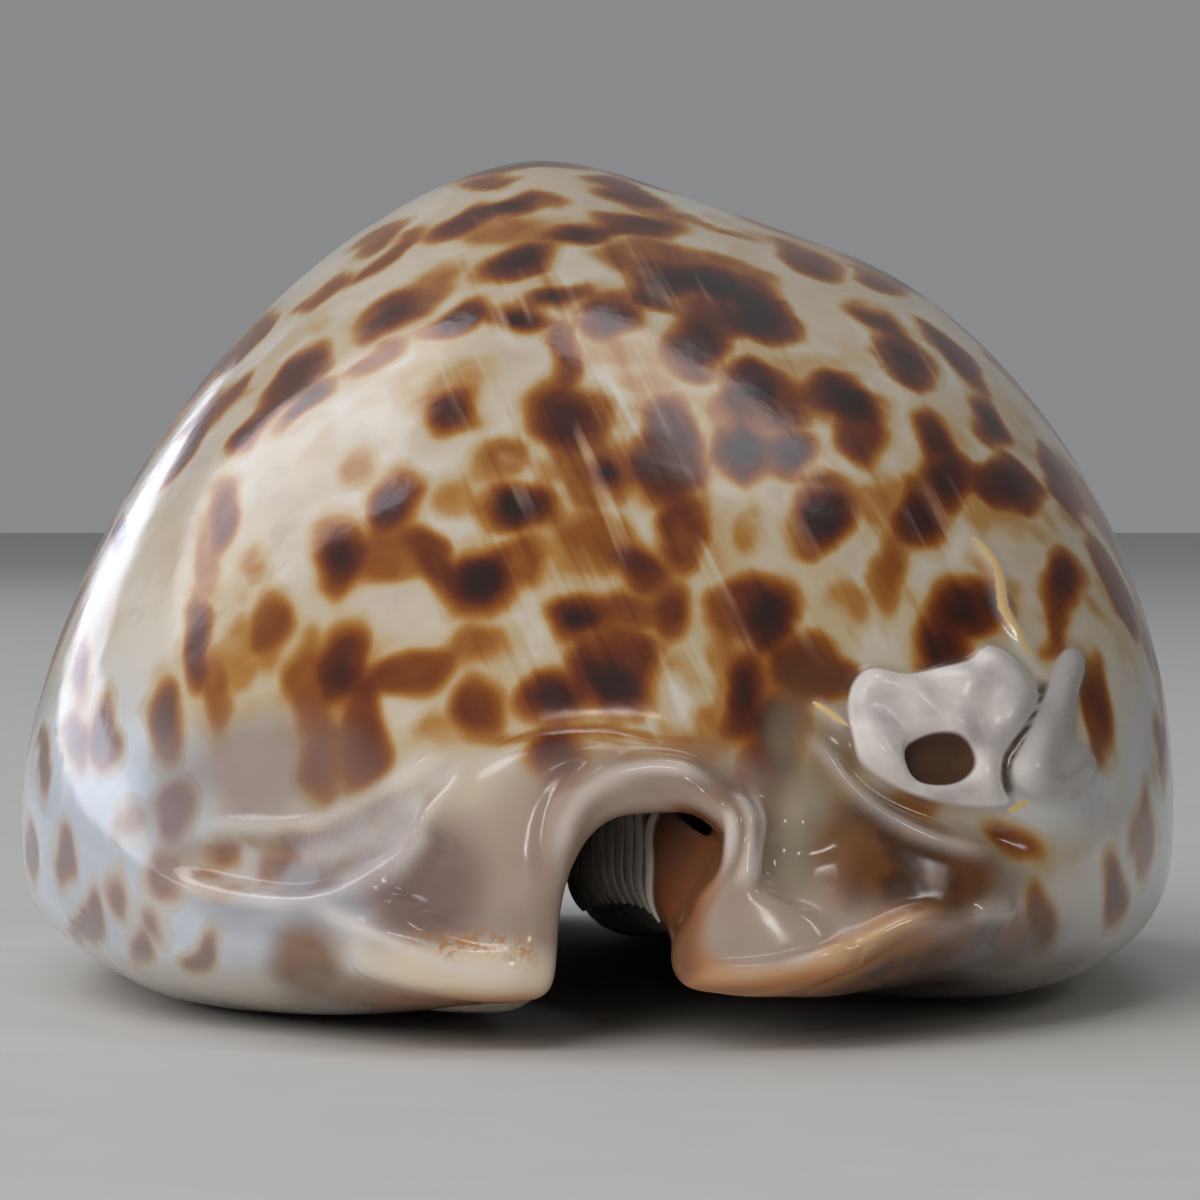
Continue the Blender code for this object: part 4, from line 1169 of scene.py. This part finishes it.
# The colours in the order in which they cover one another, each with the share that it covers.
colour = tones["ground"]
for share, tone in (
    (between(haze, 0.5, 0.7, 0.0, STRENGTH["lilac"]), LILAC),
    # Milky margin, partly a painted bluish reflection.
    (product(milk_and_sheen, STRENGTH["milk_and_sheen"]), tones["milk_and_sheen"]),
    (inked_share, stops.outputs["Color"]),
    (product(streaks, STRENGTH["streaks"]), IVORY),
    (where["base"], tones["base"]),
    (product(where["canal"], STRENGTH["canal"]), tones["canal"]),
    # Painted shade about the fold.
    (product(where["slate_shade"], mottled_share), SLATE_SHADE),
    # Mauve skin, partly painted shade in the hollow beside the canal.
    (product(where["mauve_and_shade"], mottled_share), MAUVE_AND_SHADE),
    (product(where["olive"], mottled_share), OLIVE),
    (product(where["umber"], mottled_share), UMBER),
    # Chestnut, partly painted shade under the inner foot's roll.
    (product(where["chestnut_and_shade"], mottled_share), tones["chestnut_and_shade"]),
    (between(where["fold"], 0.1, 0.7, 0.0, STRENGTH["fold"]), tones["fold"]),
    (product(where["feet"], STRENGTH["feet"]), foot_tone),
    (product(where["speckled"], specks, STRENGTH["specks"]), FOOT_BROWN),
    # Painted highlight along the crests of the raised lines.
    (product(where["crest"], STRENGTH["crest"]), crest_highlight_tone),
    (where["within"], within_tone),
    (where["canal_wall"], tones["canal_wall"]),
    (seam_share, SCAR_SEAM),
    (scar_share, scar_tone),
    (between(where["pit"], -0.04, 0.08), PIT_BROWN),
    # Painted highlight: the golden glint on the raised beads.
    (between(where["gold_glint"], 0.35, 0.75), GOLD_GLINT),
):
    colour = blend(share, colour, tone)
feed(surface["Base Color"], colour)
feed(surface["Coat Weight"], between(where["pit"], -0.1, 0.1, COAT_WEIGHT, 0.0))
skin_roughness = surface["Roughness"].links[0].from_socket
pit_roughness = between(where["pit"], -0.1, 0.1, 0.0, PIT_DULL)
worn = sum_up("ADD", skin_roughness, pit_roughness)
feed(surface["Roughness"], sum_up("ADD", worn, product(scar_share, SCAR_DULL)))
shell.data.materials.append(shell_look)
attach(shell, "root")
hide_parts("cowrie_shell")


# The teeth: short ribs of the same enamel along both lips of the slit, stout and set on the rim of
# the outer lip, finer and set up the slit's wall on the inner lip. Each rib follows its own
# cross-section of the shell.
TOOTH_GAP = 2.75
TEETH = {
    # Side of the slit: first and last place along the shell, how far down the base and up the wall
    # a rib runs, and its half width.
    -1: {"ends": (-33.5, 34.0), "down": 3.6, "up": 3.4, "half": 0.62},
    1: {"ends": (-34.0, 33.0), "down": -0.6, "up": 7.5, "half": 0.5},
}
RIB_POINTS, RIB_SIDES = 17, 10
# Ribs are smaller towards the ends of the lips, and each one thins to its own ends. Their middles
# stay this many half widths above the ground.
RIB_SMALLEST, RIB_GAIN, RIB_THINNING, RIB_TIP, RIB_CLEAR = 0.65, 0.35, 0.6, 0.04, 1.05
TOOTH_IVORY, TOOTH_TAN = (0.68, 0.62, 0.55), (0.52, 0.44, 0.36)


def rib_paths(side, ends, down, up, half):
    """The ribs of one lip: the places along each, and how thick it is there."""
    y_at = np.arange(ends[0], ends[1], TOOTH_GAP)
    dense, y = places_along()
    paths = []
    for i, section in enumerate(sections_at(np.interp(y_at, y, dense))):
        path = half_underside(section, side)
        gaps = np.linalg.norm(np.diff(path, axis=0), axis=1)
        gone = np.concatenate([[0.0], np.cumsum(gaps)])
        lip = gone[BASE_STEPS + LIP_STEPS // 2]
        path_steps = np.arange(len(path))
        at = np.interp(np.linspace(lip - down, lip + up, RIB_POINTS), gone, path_steps)
        rib = np.stack([np.interp(at, path_steps, path[:, k]) for k in range(2)], axis=1)
        small = RIB_SMALLEST + RIB_GAIN * np.sin(np.pi * (i + 0.5) / len(y_at))
        along = np.linspace(RIB_TIP, 1.0 - RIB_TIP, RIB_POINTS)
        girth = half * small * np.sin(np.pi * along) ** RIB_THINNING
        line = (leaning(rib, section) - loop_middle) * loop_scale
        paths.append((np.maximum(line, [-FAR, -FAR, RIB_CLEAR * half]), girth))
    return paths


ribs = [rib for side, sizes in TEETH.items() for rib in rib_paths(side, **sizes)]
rib_lines = mesh_object(
    "rib_lines",
    np.concatenate([line for line, _ in ribs]),
    [],
    [(at, at + 1) for at in range(len(ribs) * RIB_POINTS) if (at + 1) % RIB_POINTS],
)
keep_on_points(rib_lines.data, "girth", np.concatenate([girth for _, girth in ribs]) * MM)

tooth_look, tree, surface, place, haze = enamel("tooth_enamel", 1.2, 0.08)
feed(surface["Base Color"], blend(between(haze, 0.35, 0.7), TOOTH_IVORY, TOOTH_TAN))

rib_tree = bpy.data.node_groups.new("lip teeth", "GeometryNodeTree")
for name, kind, way in (
    ("Lines", "NodeSocketGeometry", "INPUT"),
    ("Girth", "NodeSocketFloat", "INPUT"),
    ("Sides", "NodeSocketInt", "INPUT"),
    ("Teeth", "NodeSocketGeometry", "OUTPUT"),
):
    rib_tree.interface.new_socket(name, in_out=way, socket_type=kind)
flow = {
    name: rib_tree.nodes.new(kind)
    for name, kind in (
        ("in", "NodeGroupInput"),
        ("curve", "GeometryNodeMeshToCurve"),
        ("round", "GeometryNodeCurvePrimitiveCircle"),
        ("girth", "GeometryNodeInputNamedAttribute"),
        ("thick", "ShaderNodeMath"),
        ("sweep", "GeometryNodeCurveToMesh"),
        ("smooth", "GeometryNodeSetShadeSmooth"),
        ("real", "GeometryNodeRealizeInstances"),
        ("look", "GeometryNodeSetMaterial"),
        ("out", "NodeGroupOutput"),
    )
}
flow["girth"].data_type = "FLOAT"
flow["thick"].operation = "MULTIPLY"
for socket, value in (
    (flow["girth"].inputs["Name"], "girth"),
    (flow["look"].inputs["Material"], tooth_look),
    (flow["sweep"].inputs["Fill Caps"], True),
    (flow["round"].inputs["Radius"], 1.0),
    (flow["curve"].inputs[0], flow["in"].outputs["Lines"]),
    (flow["sweep"].inputs["Curve"], flow["curve"].outputs[0]),
    (flow["round"].inputs["Resolution"], flow["in"].outputs["Sides"]),
    (flow["sweep"].inputs["Profile Curve"], flow["round"].outputs[0]),
    (flow["thick"].inputs[0], flow["girth"].outputs[0]),
    (flow["thick"].inputs[1], flow["in"].outputs["Girth"]),
    (flow["sweep"].inputs["Scale"], flow["thick"].outputs[0]),
    (flow["smooth"].inputs[0], flow["sweep"].outputs[0]),
    (flow["real"].inputs[0], flow["smooth"].outputs[0]),
    (flow["look"].inputs[0], flow["real"].outputs[0]),
    (flow["out"].inputs[0], flow["look"].outputs[0]),
):
    feed(socket, value)
growing = rib_lines.modifiers.new("teeth", "NODES")
growing.node_group = rib_tree
inputs = [item for item in rib_tree.interface.items_tree if item.in_out == "INPUT"]
sockets = {item.name: item.identifier for item in inputs}
growing[sockets["Girth"]] = 1.0
growing[sockets["Sides"]] = RIB_SIDES
graph = bpy.context.evaluated_depsgraph_get()
grown = bpy.data.meshes.new_from_object(rib_lines.evaluated_get(graph))
bpy.data.objects.remove(rib_lines, do_unlink=True)
teeth = bpy.data.objects.new("lip_teeth", grown)
bpy.context.scene.collection.objects.link(teeth)
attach(teeth, "root")


# The floor: a wide round sheet of pale matt card with a faint grain, which only carries the shell
# and is not part of it.
FLOOR_RADIUS, FLOOR_SIDES = 1500.0, 96
CARD_GREY, CARD_PALE, CARD_ROUGHNESS = (0.60, 0.59, 0.57), (0.66, 0.65, 0.63), 0.85
GRAIN_SIZE, GRAIN_DETAIL = 6.0, 4.0
turns = 2 * np.pi * np.arange(FLOOR_SIDES) / FLOOR_SIDES
floor_points = FLOOR_RADIUS * np.stack([np.cos(turns), np.sin(turns), np.zeros_like(turns)], axis=1)
floor = mesh_object("floor", floor_points, [list(range(FLOOR_SIDES))])
card = bpy.data.materials.new("pale_card")
card.use_nodes = True
surface = card.node_tree.nodes["Principled BSDF"].inputs
place = card.node_tree.nodes.new("ShaderNodeTexCoord").outputs["Object"]
feed(surface["Base Color"], blend(cloud(place, GRAIN_SIZE, GRAIN_DETAIL), CARD_GREY, CARD_PALE))
feed(surface["Roughness"], CARD_ROUGHNESS)
floor.data.materials.append(card)


# Soft studio light: a large window behind the outer lip's side, small cards that draw the rim's
# and the feet's highlights, a broad fill that shows in no reflection, and a dim grey room.
LIGHTS_AIM = Vector((0.0, 0.0, 0.02))
ROOM_BEHIND, ROOM_BEFORE, ROOM_DARK = (0.25, 0.255, 0.26), (0.21, 0.21, 0.21), (0.07, 0.07, 0.07)
# Each light: its way from the shell, its distance, its width and height, its watts and its tint.
LIGHTS = {
    "window": ((-0.55, 0.42, 0.72), 0.75, (0.30, 0.46), 0.85, (0.90, 0.92, 1.0)),
    "window_sill": ((-0.74, 0.64, 0.20), 0.75, (0.85, 0.13), 0.75, (0.80, 0.85, 1.0)),
    "rim_light": ((0.02, -0.55, 0.83), 0.75, (0.16, 0.04), 0.15, (1.0, 0.98, 0.95)),
    "overhead": ((0.22, 0.26, 0.94), 0.80, (0.34, 0.20), 0.32, (0.93, 0.95, 1.0)),
    "right_strip": ((0.76, -0.22, 0.60), 0.75, (0.05, 0.16), 0.22, (1.0, 0.99, 0.97)),
    "front_card": ((0.28, -0.90, 0.34), 0.75, (0.07, 0.07), 0.18, (1.0, 0.99, 0.97)),
    "fill": ((-0.50, -0.68, 0.55), 1.0, (0.9, 0.8), 6.0, (1.0, 0.985, 0.965)),
}
for name, (way, distance, size, watts, tint) in LIGHTS.items():
    lamp = bpy.data.lights.new(name, "AREA")
    lamp.shape = "RECTANGLE"
    lamp.size, lamp.size_y = size
    lamp.energy, lamp.color = watts, tint
    light = bpy.data.objects.new(name, lamp)
    light.location = Vector(way).normalized() * distance + LIGHTS_AIM
    light.rotation_euler = Vector(way).to_track_quat("Z", "Y").to_euler()
    light.visible_glossy = name != "fill"
    bpy.context.scene.collection.objects.link(light)
world = bpy.data.worlds.new("studio")
world.use_nodes = True
room = world.node_tree
way = room.nodes.new("ShaderNodeSeparateXYZ")
feed(way.inputs[0], room.nodes.new("ShaderNodeTexCoord").outputs["Generated"])
walls = blend(between(way.outputs["Y"], 0.3, -0.8), ROOM_BEHIND, ROOM_BEFORE)
walls = blend(between(way.outputs["X"], 0.15, 0.8), walls, ROOM_DARK)
feed(room.nodes["Background"].inputs["Color"], walls)
bpy.context.scene.world = world


# The camera: a long lens set low and straight in front of the canal, a little above the ground,
# with nothing out of focus.
CAMERA_AIM, CAMERA_DISTANCE, CAMERA_RISE = Vector((0.15, -3.0, 19.05)) * MM, 300.0 * MM, 1.5
LENS_LENGTH, LENS_WIDTH, LENS_NEAR, LENS_FAR = 180.0, 36.0, 0.01, 10.0
up_angle = np.radians(CAMERA_RISE)
lens = bpy.data.cameras.new("camera")
lens.lens, lens.sensor_width = LENS_LENGTH, LENS_WIDTH
lens.clip_start, lens.clip_end = LENS_NEAR, LENS_FAR
camera = bpy.data.objects.new("camera", lens)
back_off = Vector((0.0, -np.cos(up_angle), np.sin(up_angle))) * CAMERA_DISTANCE
camera.location = CAMERA_AIM + back_off
camera.rotation_euler = (np.pi / 2 - up_angle, 0.0, 0.0)
bpy.context.scene.collection.objects.link(camera)
bpy.context.scene.camera = camera
bpy.context.scene.view_settings.view_transform = "Standard"
